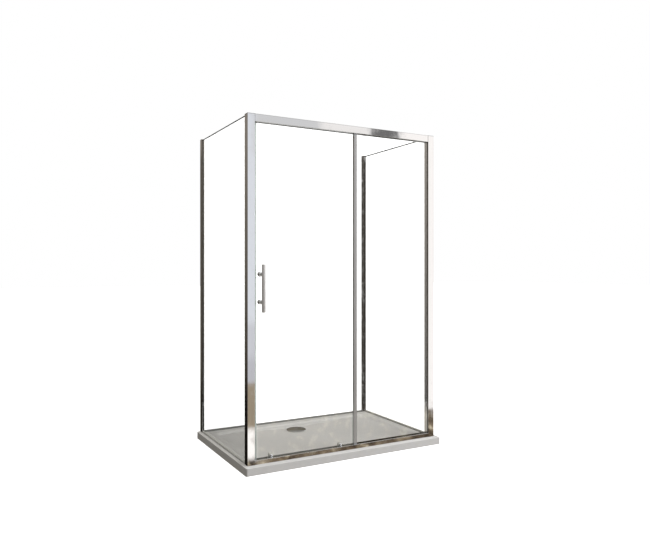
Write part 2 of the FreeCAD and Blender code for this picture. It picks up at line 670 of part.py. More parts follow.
def make_blocks_and_screws():
    """Blocks in the rails' ends, screwed into the posts."""
    x0 = -POST_INNER_X
    x1 = x0 + BLOCK_LENGTH
    header_block = box(x0, x1, BLOCK_FRONT, BLOCK_BACK, HEADER_BLOCK_BOTTOM, HEADER_BLOCK_TOP)
    rail_block = box(x0, x1, BLOCK_FRONT, BLOCK_BACK, RAIL_INSIDE_BOTTOM, RAIL_BLOCK_TOP)
    header_block = header_block.cut(screw_holes(HEADER_SCREW_HEIGHTS, SCREW_Y, x0, x1))
    rail_block = rail_block.cut(screw_holes(RAIL_SCREW_HEIGHTS, SCREW_Y, x0, x1))
    screws = []
    for z in HEADER_SCREW_HEIGHTS + RAIL_SCREW_HEIGHTS:
        shank = rod_x(SCREW_Y, z, SCREW_RADIUS, x0 - WALL - SCREW_PAST_WALL, x1)
        head = rod_x(SCREW_Y, z, SCREW_HEAD_RADIUS, x1, x1 + SCREW_HEAD_THICK)
        socket = rod_x(SCREW_Y, z, SCREW_HEAD_RADIUS / 2, x1 + SCREW_HEAD_THICK / 2, x1 + SCREW_HEAD_THICK)
        screw = shank.fuse(head).cut(socket).removeSplitter()
        screws.append(screw)
        screws.append(mirrored(screw))
    return {
        "header_brackets": group([header_block, mirrored(header_block)]),
        "rail_brackets": group([rail_block, mirrored(rail_block)]),
        "frame_screws": group(screws),
    }


def make_track_stops():
    """Rubber stops on the header's ledge that the top wheels meet at each end of the travel."""
    z0 = TOP_BEAD_TOP
    z1 = z0 + STOP_HEIGHT
    left_end = ROLLER_X[0] - TOP_WHEEL_RADIUS - SOFT_GAP
    right_start = ROLLER_X[1] + DOOR_TRAVEL + TOP_WHEEL_RADIUS + SOFT_GAP
    left = box(left_end - STOP_LENGTH, left_end, BLOCK_FRONT, BLOCK_BACK, z0, z1)
    right = box(right_start, right_start + STOP_LENGTH, BLOCK_FRONT, BLOCK_BACK, z0, z1)
    return group([left, right])


# ---------------------------------------------------------------- side walls


def make_side_wall():
    """The left side: wall channel, profile, glass, sill seal and gaskets."""
    x0 = LEFT_OUTER_X
    x1 = WALL_CHANNEL_INNER_X
    channel = rounded_bar(
        x0, x1, WALL_CHANNEL_FRONT, WALL_Y, TRAY_HEIGHT, FRAME_TOP, Z_AXIS, WALL / 3
    )
    channel = channel.cut(
        box(x0 + WALL, x1 - WALL, WALL_CHANNEL_FRONT, WALL_Y - WALL, TRAY_HEIGHT, FRAME_TOP)
    )
    mid_x = (x0 + x1) / 2
    adjust_y = SIDE_PROFILE_BACK - ADJUST_FROM_BACK
    wall_holes = [rod_y(mid_x, z, WALL_HOLE_RADIUS, WALL_Y - WALL, WALL_Y) for z in FIXING_HEIGHTS]
    adjust_holes = [
        rod_x(adjust_y, z, ADJUST_SCREW_RADIUS + SCREW_FIT, x1 - WALL, x1) for z in FIXING_HEIGHTS
    ]
    channel = channel.cut(wall_holes + adjust_holes)

    profile_left = x0 + WALL + SLIDE_CLEARANCE
    profile_right = x1 - WALL - SLIDE_CLEARANCE
    profile = box(
        profile_left, profile_right, SIDE_PROFILE_FRONT, SIDE_PROFILE_BACK, TRAY_HEIGHT, FRAME_TOP
    )
    groove_back = SIDE_PROFILE_FRONT + CHANNEL_DEPTH
    groove = box(
        SIDE_CHANNEL_LEFT, SIDE_CHANNEL_RIGHT, SIDE_PROFILE_FRONT, groove_back, TRAY_HEIGHT, FRAME_TOP
    )
    hollow = box(
        SIDE_CHANNEL_LEFT, SIDE_CHANNEL_RIGHT, groove_back + SIDE_PROFILE_WALL,
        SIDE_PROFILE_BACK - SIDE_PROFILE_WALL, TRAY_HEIGHT, FRAME_TOP,
    )
    screw_depth = profile_right - SIDE_CHANNEL_RIGHT
    profile_holes = [
        rod_x(adjust_y, z, ADJUST_SCREW_RADIUS + SCREW_FIT, SIDE_CHANNEL_RIGHT, profile_right)
        for z in FIXING_HEIGHTS
    ]
    profile = profile.cut([groove, hollow] + profile_holes)

    screws = []
    caps = []
    for z in FIXING_HEIGHTS:
        shank = rod_x(adjust_y, z, ADJUST_SCREW_RADIUS, profile_right - screw_depth, x1)
        head = rod_x(adjust_y, z, ADJUST_HEAD_RADIUS, x1, x1 + ADJUST_HEAD_THICK)
        screws.append(shank.fuse(head).removeSplitter())
        cap = rod_x(adjust_y, z, ADJUST_CAP_RADIUS, x1, x1 + ADJUST_CAP_THICK)
        cap = softened(
            cap, ADJUST_CAP_ROUND, lambda edge: edge.BoundBox.XMin > x1 + ADJUST_CAP_THICK - NEAR
        )
        pocket = rod_x(adjust_y, z, ADJUST_HEAD_RADIUS + FIT, x1, x1 + ADJUST_HEAD_THICK + FIT)
        caps.append(cap.cut(pocket))

    glass = box(
        SIDE_GLASS_LEFT, SIDE_GLASS_RIGHT, SIDE_GLASS_FRONT, SIDE_GLASS_BACK,
        SIDE_GLASS_BOTTOM, SIDE_GLASS_TOP,
    )
    sill = box(
        SIDE_CHANNEL_LEFT, SIDE_CHANNEL_RIGHT, FRAME_BACK, SIDE_PROFILE_FRONT,
        TRAY_HEIGHT, TRAY_HEIGHT + SILL_HEIGHT,
    ).cut(glass)
    gaskets = []
    for y0, y1 in (
        (FRAME_BACK - GASKET_DEPTH, FRAME_BACK),
        (SIDE_PROFILE_FRONT, SIDE_PROFILE_FRONT + GASKET_DEPTH),
    ):
        gaskets.append(box(SIDE_CHANNEL_LEFT, SIDE_GLASS_LEFT, y0, y1, TRAY_HEIGHT, GLASS_TOP))
        gaskets.append(box(SIDE_GLASS_RIGHT, SIDE_CHANNEL_RIGHT, y0, y1, TRAY_HEIGHT, GLASS_TOP))
    return {
        "wall_channel": channel,
        "side_profile": profile,
        "side_glass": glass,
        "sill": sill,
        "gaskets": gaskets,
        "screws": screws,
        "caps": caps,
    }


def make_side_walls():
    """Both sides: the right one is the left one mirrored."""
    side = make_side_wall()
    nodes = {}
    for name in ("wall_channel", "side_profile", "side_glass"):
        nodes[name + "_left"] = side[name]
        nodes[name + "_right"] = mirrored(side[name])
    nodes["side_sills"] = group([side["sill"], mirrored(side["sill"])])
    for name, parts in (
        ("side_gaskets", side["gaskets"]),
        ("adjust_screws", side["screws"]),
        ("adjust_caps", side["caps"]),
    ):
        nodes[name] = group(parts + [mirrored(part) for part in parts])
    return nodes


# ---------------------------------------------------------------- fixed front panel


def make_fixed_panel():
    """The fixed glass on the right, the upright bar on its free edge, gaskets, blocks and fin seal."""
    bar_right = BAR_LEFT_X + BAR_WIDTH
    glass_left = BAR_LEFT_X + BAR_WALL + EDGE_GLASS_GAP
    glass_right = POST_INNER_X + GLASS_COVER
    glass = box(
        glass_left, glass_right, FIXED_GLASS_FRONT, FIXED_GLASS_BACK, FIXED_GLASS_BOTTOM, GLASS_TOP
    )
    bar_front = FIXED_GLASS_FRONT - BAR_GASKET - BAR_WALL
    bar_back = FIXED_GLASS_BACK + BAR_GASKET + BAR_WALL
    bar_bottom = RAIL_TOP + BAR_FOOT
    bar_top = HEADER_BOTTOM - BAR_FOOT
    bar = rounded_bar(
        BAR_LEFT_X, bar_right, bar_front, bar_back, bar_bottom, bar_top, Z_AXIS, BAR_WALL / 3
    )
    inside = box(
        BAR_LEFT_X + BAR_WALL, bar_right, bar_front + BAR_WALL, bar_back - BAR_WALL, bar_bottom, bar_top
    )
    bar = bar.cut(inside)

    feet = []
    for z0, z1 in ((RAIL_TOP, bar_bottom), (bar_top, HEADER_BOTTOM)):
        foot = box(BAR_LEFT_X, bar_right, bar_front, bar_back, z0, z1)
        feet.append(foot.cut(glass))

    gaskets = []
    for y0, y1 in ((CHANNEL_FRONT, FIXED_GLASS_FRONT), (FIXED_GLASS_BACK, CHANNEL_BACK)):
        gaskets.append(box(BAR_LEFT_X, POST_INNER_X, y0, y1, RAIL_TOP - GASKET_DEPTH, RAIL_TOP))
        gaskets.append(box(BAR_LEFT_X, POST_INNER_X, y0, y1, HEADER_BOTTOM, HEADER_BOTTOM + GASKET_DEPTH))
        gaskets.append(box(POST_INNER_X, POST_INNER_X + GASKET_DEPTH, y0, y1, RAIL_TOP, HEADER_BOTTOM))
    for y0, y1 in (
        (bar_front + BAR_WALL, FIXED_GLASS_FRONT),
        (FIXED_GLASS_BACK, bar_back - BAR_WALL),
    ):
        gaskets.append(box(glass_left, bar_right, y0, y1, bar_bottom, bar_top))

    blocks = []
    for x in (bar_right + SETTING_BLOCK_FROM_END, POST_INNER_X - SETTING_BLOCK_FROM_END):
        half = SETTING_BLOCK_LENGTH / 2
        blocks.append(
            box(
                x - half, x + half, FIXED_GLASS_FRONT, FIXED_GLASS_BACK,
                RAIL_INSIDE_BOTTOM, FIXED_GLASS_BOTTOM,
            )
        )

    fin_bottom = BOLT_Z + ROLLER_CAP_RADIUS + FIN_ABOVE_CAP
    fin_base = box(
        BAR_LEFT_X, BAR_LEFT_X + BAR_WIDTH / 2, bar_back, bar_back + WEB, fin_bottom, bar_top
    )
    fin_left = BAR_LEFT_X + FIN_INSET
    fin = box(
        fin_left, fin_left + SEAL_LEG, bar_back + WEB, DOOR_FRONT - SOFT_GAP, fin_bottom, bar_top
    )
    return {
        "fixed_glass": glass,
        "fixed_edge_profile": bar,
        "edge_profile_feet": group(feet),
        "fixed_gaskets": group(gaskets),
        "setting_blocks": group(blocks),
        "edge_fin_seal": fin_base.fuse(fin).removeSplitter(),
    }


def make_post_magnet_strip():
    """The magnetic strip pushed into the left post, a little proud of it."""
    x1 = -POST_INNER_X
    half = MAGNET_CHANNEL_WIDTH / 2 - FIT
    nose_half = half - MAGNET_STRIP_STEP
    base_left = x1 - MAGNET_CHANNEL_DEPTH + MAGNET_STRIP_STEP
    base = box(base_left, x1, MAGNET_Y - half, MAGNET_Y + half, SEAL_BOTTOM, SEAL_TOP)
    nose = box(x1, MAGNET_STRIP_X, MAGNET_Y - nose_half, MAGNET_Y + nose_half, SEAL_BOTTOM, SEAL_TOP)
    return base.fuse(nose).removeSplitter()


# ---------------------------------------------------------------- door


def make_door_glass():
    """The door's pane, with holes for the rollers and the handle."""
    pane = box(DOOR_LEFT_X, DOOR_RIGHT_X, DOOR_FRONT, DOOR_BACK, DOOR_BOTTOM, DOOR_TOP)
    holes = []
    for x in ROLLER_X:
        for z in (TOP_AXLE_Z, BOLT_Z):
            holes.append(rod_y(x, z, GLASS_HOLE_RADIUS, DOOR_FRONT, DOOR_BACK))
    for z in STANDOFF_HEIGHTS:
        holes.append(rod_y(HANDLE_X, z, GLASS_HOLE_RADIUS, DOOR_FRONT, DOOR_BACK))
    return pane.cut(holes)


def clip_seal(edge_x, outwards):
    """A seal that clips on an upright edge of the door: a web outside it and two legs on the glass."""
    web_end = edge_x + outwards * SEAL_WEB
    grip_end = edge_x - outwards * SEAL_GRIP
    outer = box(
        min(web_end, grip_end), max(web_end, grip_end), DOOR_FRONT - SEAL_LEG, DOOR_BACK + SEAL_LEG,
        SEAL_BOTTOM, SEAL_TOP,
    )
    inner = box(
        min(edge_x, grip_end), max(edge_x, grip_end), DOOR_FRONT, DOOR_BACK, SEAL_BOTTOM, SEAL_TOP
    )
    return outer.cut(inner)


def make_door_seals():
    """Magnetic seal, trailing seal with its soft tube, and the drip seal along the bottom."""
    magnet = clip_seal(DOOR_LEFT_X, -1)
    trailing = clip_seal(DOOR_RIGHT_X, 1)
    tube = rod_z(DOOR_RIGHT_X + SEAL_WEB, MAGNET_Y, TRAILING_TUBE_RADIUS, SEAL_BOTTOM, SEAL_TOP)
    pane = box(DOOR_LEFT_X, DOOR_RIGHT_X, DOOR_FRONT, DOOR_BACK, DOOR_BOTTOM, DOOR_TOP)
    trailing = trailing.fuse(tube.cut(pane)).removeSplitter()
    drip = box(
        DOOR_LEFT_X, DOOR_RIGHT_X, DOOR_FRONT - SEAL_LEG, DOOR_BACK + SEAL_LEG,
        DOOR_BOTTOM - SEAL_LEG, DOOR_BOTTOM + DRIP_GRIP,
    ).cut(pane)
    fin = box(
        DOOR_LEFT_X, DOOR_RIGHT_X, PARTITION_BACK + SOFT_GAP, DOOR_FRONT - SEAL_LEG,
        DOOR_BOTTOM + DRIP_GRIP - SEAL_LEG, DOOR_BOTTOM + DRIP_GRIP,
    )
    return {
        "door_magnet_seal": magnet,
        "door_trailing_seal": trailing,
        "door_drip_seal": drip.fuse(fin).removeSplitter(),
    }


def bolt_through_glass(x, z, head_radius):
    """A domed head in front of the door glass, a shank in the hole, and a screw into what is behind."""
    head_back = DOOR_FRONT - WASHER
    head_front = head_back - BOLT_HEAD_THICK
    head = rod_y(x, z, head_radius, head_front, head_back)
    head = softened(head, BOLT_HEAD_ROUND, lambda edge: edge.BoundBox.YMax < head_front + NEAR)
    shank = rod_y(x, z, BOLT_SHANK_RADIUS, head_back, DOOR_BACK)
    screw_back = DOOR_BACK + WASHER + HUB_THICK - BOLT_END_GAP
    screw = rod_y(x, z, BOLT_SCREW_RADIUS, DOOR_BACK, screw_back)
    return head.fuse([shank, screw]).removeSplitter()


def make_top_rollers():
    """Bolt, axle, bearing and wheel at each top corner of the door."""
    nodes = {}
    bolts = []
    axles = []
    for side, x in zip(SIDES, ROLLER_X):
        z = TOP_AXLE_Z
        bolts.append(bolt_through_glass(x, z, TOP_BOLT_HEAD_RADIUS))
        hub = rod_y(x, z, HUB_RADIUS, DOOR_BACK + WASHER, HUB_BACK)
        axle = rod_y(x, z, TOP_AXLE_RADIUS, HUB_BACK, TOP_WHEEL_BACK + RUN_CLEARANCE)
        head = rod_y(
            x, z, TOP_AXLE_RADIUS + AXLE_HEAD_LIP, TOP_WHEEL_BACK + RUN_CLEARANCE,
            TOP_WHEEL_BACK + RUN_CLEARANCE + AXLE_HEAD,
        )
        socket_back = HUB_BACK - SOCKET_END_GAP
        socket = rod_y(x, z, BOLT_SCREW_RADIUS + SCREW_FIT, DOOR_BACK + WASHER, socket_back)
        axles.append(hub.fuse([axle, head]).cut(socket).removeSplitter())

        bearing = ring_y(
            x, z, BEARING_RADIUS, TOP_AXLE_RADIUS + RUN_CLEARANCE, TOP_WHEEL_FRONT, TOP_WHEEL_BACK
        )
        nodes["top_bearing_" + side] = bearing
        nodes["top_wheel_" + side] = grooved_wheel(
            x, z, TOP_WHEEL_RADIUS, TOP_GROOVE_RADIUS, BEARING_RADIUS, TOP_WHEEL_FRONT, TOP_WHEEL_BACK
        )
    nodes["hanger_bolts"] = group(bolts)
    nodes["hanger_axles"] = group(axles)
    return nodes


def grooved_wheel(x, z, outer, groove, bore, y0, y1):
    """A wheel whose rim is grooved to sit astride the track's bead."""
    wheel = ring_y(x, z, outer, bore, y0, y1)
    middle = (y0 + y1) / 2
    cutter = ring_y(x, z, outer + PAST, groove, middle - GROOVE_WIDTH / 2, middle + GROOVE_WIDTH / 2)
    return wheel.cut(cutter)


def make_lower_rollers():
    """Cap, body, sprung release button with the wheel's arm, and wheel at each bottom corner."""
    nodes = {}
    caps = []
    for side, x in zip(SIDES, ROLLER_X):
        caps.append(bolt_through_glass(x, BOLT_Z, ROLLER_CAP_RADIUS))

        body_back = BODY_FRONT + BODY_DEPTH
        body = box(x - BODY_WIDTH / 2, x + BODY_WIDTH / 2, BODY_FRONT, body_back, BODY_BOTTOM, BODY_TOP)
        body = body.makeFillet(BODY_ROUND, edges_along(body, Y_AXIS))
        slot_half = ARM_WIDTH / 2 + ARM_CLEARANCE
        slot = box(
            x - slot_half, x + slot_half, ARM_FRONT - ARM_CLEARANCE, ARM_BACK + ARM_CLEARANCE,
            BODY_BOTTOM, BODY_TOP,
        )
        boss = rod_y(x, BOLT_Z, BODY_BOSS_RADIUS, BODY_FRONT, body_back - BODY_BACK_WALL)
        socket = rod_y(x, BOLT_Z, BOLT_SCREW_RADIUS + SCREW_FIT, BODY_FRONT, BODY_FRONT + HUB_THICK)
        pockets = []
        springs = []
        spring_y = ARM_BACK + SPRING_RADIUS + ARM_CLEARANCE + SOFT_GAP
        for offset in (-SPRING_SPACING / 2, SPRING_SPACING / 2):
            pocket_radius = SPRING_RADIUS + ARM_CLEARANCE
            pockets.append(rod_z(x + offset, spring_y, pocket_radius, SPRING_BOTTOM, BODY_TOP))
            springs.append(
                ring_z(
                    x + offset, spring_y, SPRING_RADIUS, SPRING_RADIUS - SPRING_WIRE,
                    SPRING_BOTTOM, BUTTON_BOTTOM,
                )
            )
        body = body.cut(slot).fuse(boss).cut(socket)
        nodes["roller_body_" + side] = body.cut(pockets).removeSplitter()
        nodes["release_springs_" + side] = group(springs)

        arm_bottom = LOWER_AXLE_Z - ARM_BELOW_AXLE
        arm = box(x - ARM_WIDTH / 2, x + ARM_WIDTH / 2, ARM_FRONT, ARM_BACK, arm_bottom, BUTTON_BOTTOM)
        window_top = BOLT_Z + BODY_BOSS_RADIUS + RELEASE_TRAVEL + 2 * ARM_CLEARANCE
        window_bottom = BOLT_Z - BODY_BOSS_RADIUS - ARM_CLEARANCE
        window = box(x - ARM_WINDOW / 2, x + ARM_WINDOW / 2, ARM_FRONT, ARM_BACK, window_bottom, window_top)
        button = box(
            x - BUTTON_WIDTH / 2, x + BUTTON_WIDTH / 2, ARM_FRONT, ARM_FRONT + BUTTON_DEPTH,
            BUTTON_BOTTOM, BUTTON_BOTTOM + BUTTON_THICK,
        )
        button = button.makeFillet(BUTTON_ROUND, edges_along(button, Y_AXIS)[2:])
        axle = rod_y(x, LOWER_AXLE_Z, LOWER_AXLE_RADIUS, ARM_BACK, LOWER_WHEEL_BACK + RUN_CLEARANCE)
        nodes["release_carriage_" + side] = arm.cut(window).fuse([button, axle]).removeSplitter()
        nodes["bottom_wheel_" + side] = grooved_wheel(
            x, LOWER_AXLE_Z, LOWER_WHEEL_RADIUS, LOWER_GROOVE_RADIUS, LOWER_AXLE_RADIUS + RUN_CLEARANCE,
            LOWER_WHEEL_FRONT, LOWER_WHEEL_BACK,
        )
    nodes["roller_caps"] = group(caps)
    return nodes


def make_glass_washers():
    """Washers between metal and glass at the four roller bolts."""
    washers = []
    for x in ROLLER_X:
        for z in (TOP_AXLE_Z, BOLT_Z):
            for y0 in (DOOR_FRONT - WASHER, DOOR_BACK):
                washers.append(
                    ring_y(x, z, TOP_BOLT_HEAD_RADIUS, BOLT_SHANK_RADIUS + SCREW_FIT, y0, y0 + WASHER)
                )
    return group(washers)


def make_handle():
    """Bar handle: tube, end caps, two standoffs, washers, and caps and bolts from the inside."""
    tube = ring_z(HANDLE_X, HANDLE_Y, HANDLE_RADIUS, HANDLE_RADIUS - HANDLE_WALL, HANDLE_BOTTOM, HANDLE_TOP)
    end_caps = []
    for end, inwards in ((HANDLE_BOTTOM, 1), (HANDLE_TOP, -1)):
        plug_end = end + inwards * HANDLE_PLUG_DEPTH
        end_caps.append(
            rod_z(HANDLE_X, HANDLE_Y, HANDLE_RADIUS - HANDLE_WALL, min(end, plug_end), max(end, plug_end))
        )
    standoffs = []
    washers = []
    inner_caps = []
    bolts = []
    bar = rod_z(HANDLE_X, HANDLE_Y, HANDLE_RADIUS, HANDLE_BOTTOM, HANDLE_TOP)
    flange_back = DOOR_FRONT - HANDLE_WASHER
    flange_front = flange_back - STANDOFF_FLANGE_THICK
    cap_front = DOOR_BACK + HANDLE_WASHER
    cap_back = cap_front + INNER_CAP_THICK
    bolt_front = HANDLE_Y + HANDLE_RADIUS + HANDLE_BOLT_FROM_BAR
    bolt_back = cap_back - INNER_CAP_WALL
    for z in STANDOFF_HEIGHTS:
        stem = rod_y(HANDLE_X, z, STANDOFF_RADIUS, HANDLE_Y, flange_front)
        flange = rod_y(HANDLE_X, z, STANDOFF_FLANGE_RADIUS, flange_front, flange_back)
        flange = softened(
            flange, STANDOFF_FLANGE_ROUND, lambda edge: edge.BoundBox.YMax < flange_front + NEAR
        )
        socket = rod_y(HANDLE_X, z, HANDLE_BOLT_RADIUS + SCREW_FIT, bolt_front, flange_back)
        standoffs.append(stem.fuse(flange).cut([bar, socket]).removeSplitter())
        for y0 in (flange_back, DOOR_BACK):
            washers.append(
                ring_y(
                    HANDLE_X, z, STANDOFF_FLANGE_RADIUS, HANDLE_BOLT_RADIUS + SCREW_FIT,
                    y0, y0 + HANDLE_WASHER,
                )
            )
        cap = rod_y(HANDLE_X, z, STANDOFF_FLANGE_RADIUS, cap_front, cap_back)
        cap = softened(cap, INNER_CAP_ROUND, lambda edge: edge.BoundBox.YMin > cap_back - NEAR)
        thread = rod_y(HANDLE_X, z, HANDLE_BOLT_RADIUS + SCREW_FIT, cap_front, bolt_back)
        inner_caps.append(cap.cut(thread))
        bolts.append(rod_y(HANDLE_X, z, HANDLE_BOLT_RADIUS, bolt_front, bolt_back))
    return {
        "handle_bar": tube,
        "handle_end_caps": group(end_caps),
        "handle_standoffs": group(standoffs),
        "handle_washers": group(washers),
        "handle_inner_caps": group(inner_caps),
        "handle_bolts": group(bolts),
    }


# ---------------------------------------------------------------- all the pieces

nodes = {
    "shower_tray": make_tray(),
    "tray_wall_seal": make_tray_wall_seal(),
    "post_caps": make_post_caps(),
    "header_rail": make_header(),
    "bottom_rail": make_bottom_rail(),
    "track_stops": make_track_stops(),
    "post_magnet_strip": make_post_magnet_strip(),
    "door_glass": make_door_glass(),
    "glass_washers": make_glass_washers(),
}
for made in (
    make_waste(),
    make_posts(),
    make_infills(),
    make_blocks_and_screws(),
    make_side_walls(),
    make_fixed_panel(),
    make_door_seals(),
    make_top_rollers(),
    make_lower_rollers(),
    make_handle(),
):
    nodes.update(made)

os.makedirs("parts", exist_ok=True)
for name, shape in nodes.items():
    shape.exportStep("parts/" + name + ".step")
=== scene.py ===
import math

import bmesh
import bpy
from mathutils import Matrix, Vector


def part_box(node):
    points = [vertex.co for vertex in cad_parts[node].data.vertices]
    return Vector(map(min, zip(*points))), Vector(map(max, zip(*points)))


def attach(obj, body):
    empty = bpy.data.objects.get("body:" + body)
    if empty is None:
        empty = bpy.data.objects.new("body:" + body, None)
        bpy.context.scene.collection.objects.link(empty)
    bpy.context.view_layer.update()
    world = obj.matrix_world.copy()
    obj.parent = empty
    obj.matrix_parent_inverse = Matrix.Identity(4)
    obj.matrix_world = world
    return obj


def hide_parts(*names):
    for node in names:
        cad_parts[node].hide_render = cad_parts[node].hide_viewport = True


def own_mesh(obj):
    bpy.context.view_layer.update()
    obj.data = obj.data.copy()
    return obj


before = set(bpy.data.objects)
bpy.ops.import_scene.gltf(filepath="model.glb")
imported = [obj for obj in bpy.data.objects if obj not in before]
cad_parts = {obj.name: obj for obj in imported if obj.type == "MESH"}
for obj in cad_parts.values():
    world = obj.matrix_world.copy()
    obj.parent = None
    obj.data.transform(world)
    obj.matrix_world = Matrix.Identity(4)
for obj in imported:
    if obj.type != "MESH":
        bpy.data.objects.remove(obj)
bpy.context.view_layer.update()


# ---------------------------------------------------------------- shower tray
# A low rectangular tray of cast stone resin under a gloss white acrylic skin. The skin is drawn
# over a mould, so every edge of the rim and the basin is softly rounded, and the floor falls to the
# waste in four shallow planes that meet in faint folds.

MM = 0.001


def linear(code):
    """An sRGB hex colour as the linear colour that a shader socket takes."""
    shares = [int(code[start:start + 2], 16) / 255 for start in (1, 3, 5)]
    return [s / 12.92 if s <= 0.04045 else ((s + 0.055) / 1.055) ** 2.4 for s in shares] + [1.0]


def add_node(owner, kind, settings=None, links=None):
    """Adds a node to a material or world, with its settings, socket values and incoming links."""
    node = owner.node_tree.nodes.new(kind)
    for name, value in (settings or {}).items():
        if isinstance(name, str) and hasattr(node, name):
            setattr(node, name, value)
        else:
            node.inputs[name].default_value = value
    for name, (source, output) in (links or {}).items():
        owner.node_tree.links.new(source.outputs[output], node.inputs[name])
    return node


def start_material(name):
    """An empty node material with its output node."""
    material = bpy.data.materials.new(name)
    material.use_nodes = True
    material.node_tree.nodes.clear()
    return material, add_node(material, "ShaderNodeOutputMaterial")


def show(material, output, shader):
    """Sends a shader to the material's surface."""
    material.node_tree.links.new(shader.outputs[0], output.inputs["Surface"])
    return material


def begin(name):
    """Names the primitive that was just added and opens it in edit mode."""
    piece = bpy.context.object
    piece.name = name
    piece.data.name = name
    bpy.ops.object.mode_set(mode="EDIT")
    return piece


def pick(kind, test):
    """In edit mode, selects only the vertices, edges or faces that pass a test."""
    bpy.ops.mesh.select_mode(type=kind)
    bpy.ops.mesh.select_all(action="DESELECT")
    mesh = bmesh.from_edit_mesh(bpy.context.object.data)
    for part in {"VERT": mesh.verts, "EDGE": mesh.edges, "FACE": mesh.faces}[kind]:
        part.select_set(bool(test(part)))
    mesh.select_flush_mode()
    bmesh.update_edit_mesh(bpy.context.object.data)


def apply_modifier(piece, kind, settings):
    """Adds a modifier with its settings and applies it."""
    modifier = piece.modifiers.new(kind.lower(), kind)
    for name, value in settings.items():
        setattr(modifier, name, value)
    bpy.ops.object.modifier_apply(modifier=modifier.name)


def end(piece, smooth_below=30):
    """Closes edit mode, puts the piece's place into its mesh and smooths its shallow edges."""
    if piece.mode == "EDIT":
        bpy.ops.object.mode_set(mode="OBJECT")
    bpy.ops.object.transform_apply(location=True, rotation=True, scale=True)
    bpy.ops.object.shade_smooth_by_angle(angle=math.radians(smooth_below))
    return piece


def dress(piece, *materials):
    """Gives a piece its materials in the order of its faces' material numbers."""
    piece.data.materials.clear()
    for material in materials:
        piece.data.materials.append(material)


def hand_over(piece, node, slot, body, *materials):
    """Dresses a piece that stands for a CAD node, hides the node and puts the piece on the body it
    rides on.
    """
    dress(piece, *materials)
    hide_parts(node)
    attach(piece, body)


# Cast acrylic: gloss, faintly rippled where it was drawn over the mould (ripples about 30 mm
# apart), with a fine moulded grain of 0.6 mm that breaks up the highlights.
def gloss_white_acrylic():
    material, output = start_material("gloss_white_acrylic")
    place = add_node(material, "ShaderNodeTexCoord")
    ripple = add_node(
        material, "ShaderNodeTexNoise", {"Scale": 1 / (30 * MM), "Detail": 2.0},
        {"Vector": (place, "Object")},
    )
    grain = add_node(
        material, "ShaderNodeTexNoise", {"Scale": 1 / (0.6 * MM), "Detail": 3.0},
        {"Vector": (place, "Object")},
    )
    tone = add_node(
        material, "ShaderNodeMix",
        {"data_type": "RGBA", 6: linear("#DEDDDB"), 7: linear("#E8E7E5")}, {0: (ripple, "Fac")},
    )
    gloss = add_node(
        material, "ShaderNodeMapRange", {"To Min": 0.3, "To Max": 0.38}, {"Value": (ripple, "Fac")}
    )
    rippled = add_node(
        material, "ShaderNodeBump", {"Strength": 0.25, "Distance": 0.15 * MM},
        {"Height": (ripple, "Fac")},
    )
    grained = add_node(
        material, "ShaderNodeBump", {"Strength": 0.15, "Distance": 0.02 * MM},
        {"Height": (grain, "Fac"), "Normal": (rippled, 0)},
    )
    return show(material, output, add_node(
        material, "ShaderNodeBsdfPrincipled", {"IOR": 1.49},
        {"Base Color": (tone, 2), "Roughness": (gloss, 0), "Normal": (grained, 0)},
    ))


TRAY_TOP = 40 * MM
TRAY_CORNER = 8 * MM
RIM_WIDTH = 85 * MM
BASIN_CORNER = 45 * MM
SLOPE_WIDTH = 20 * MM
FLOOR_CORNER = 25 * MM
FLOOR_EDGE = 30 * MM
FLOOR_LOW = 24 * MM
WASTE_X = -35 * MM
WASTE_Y = 203 * MM
WASTE_FLAT = 61 * MM
WASTE_RECESS = 57 * MM
WASTE_SEAT = 20.5 * MM
WASTE_HOLE = 45 * MM
NUT_RECESS = 60 * MM
NUT_SEAT = 10 * MM
CORNER_STEPS = 16
LARGEST_ROUNDING = 10 * MM

tray_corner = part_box("shower_tray")[1]
half_x, half_y = tray_corner.x, tray_corner.y
basin_x, basin_y = half_x - RIM_WIDTH, half_y - RIM_WIDTH
floor_x, floor_y = basin_x - SLOPE_WIDTH, basin_y - SLOPE_WIDTH
# The section of the tray as level loops, each with its half width and depth, its corner radius
# (None for a circle), its height and its place: outside, rim, basin, floor, waste hole, underside.
outline = [
    (half_x, half_y, TRAY_CORNER, 0, 0, 0),
    (half_x, half_y, TRAY_CORNER, TRAY_TOP, 0, 0),
    (basin_x, basin_y, BASIN_CORNER, TRAY_TOP, 0, 0),
    (floor_x, floor_y, FLOOR_CORNER, FLOOR_EDGE, 0, 0),
    (WASTE_FLAT, WASTE_FLAT, FLOOR_CORNER, FLOOR_LOW, WASTE_X, WASTE_Y),
] + [
    (radius, radius, None, level, WASTE_X, WASTE_Y)
    for radius, level in (
        (WASTE_RECESS, FLOOR_LOW), (WASTE_RECESS, WASTE_SEAT), (WASTE_HOLE, WASTE_SEAT),
        (WASTE_HOLE, NUT_SEAT), (NUT_RECESS, NUT_SEAT), (NUT_RECESS, 0),
    )
]
bpy.ops.object.select_all(action="DESELECT")
bpy.ops.mesh.primitive_plane_add(size=1, location=(0, 0, 0))
tray = begin("tray_body")
bpy.ops.mesh.delete(type="VERT")
bmesh.from_edit_mesh(tray.data).verts.layers.int.new("loop")
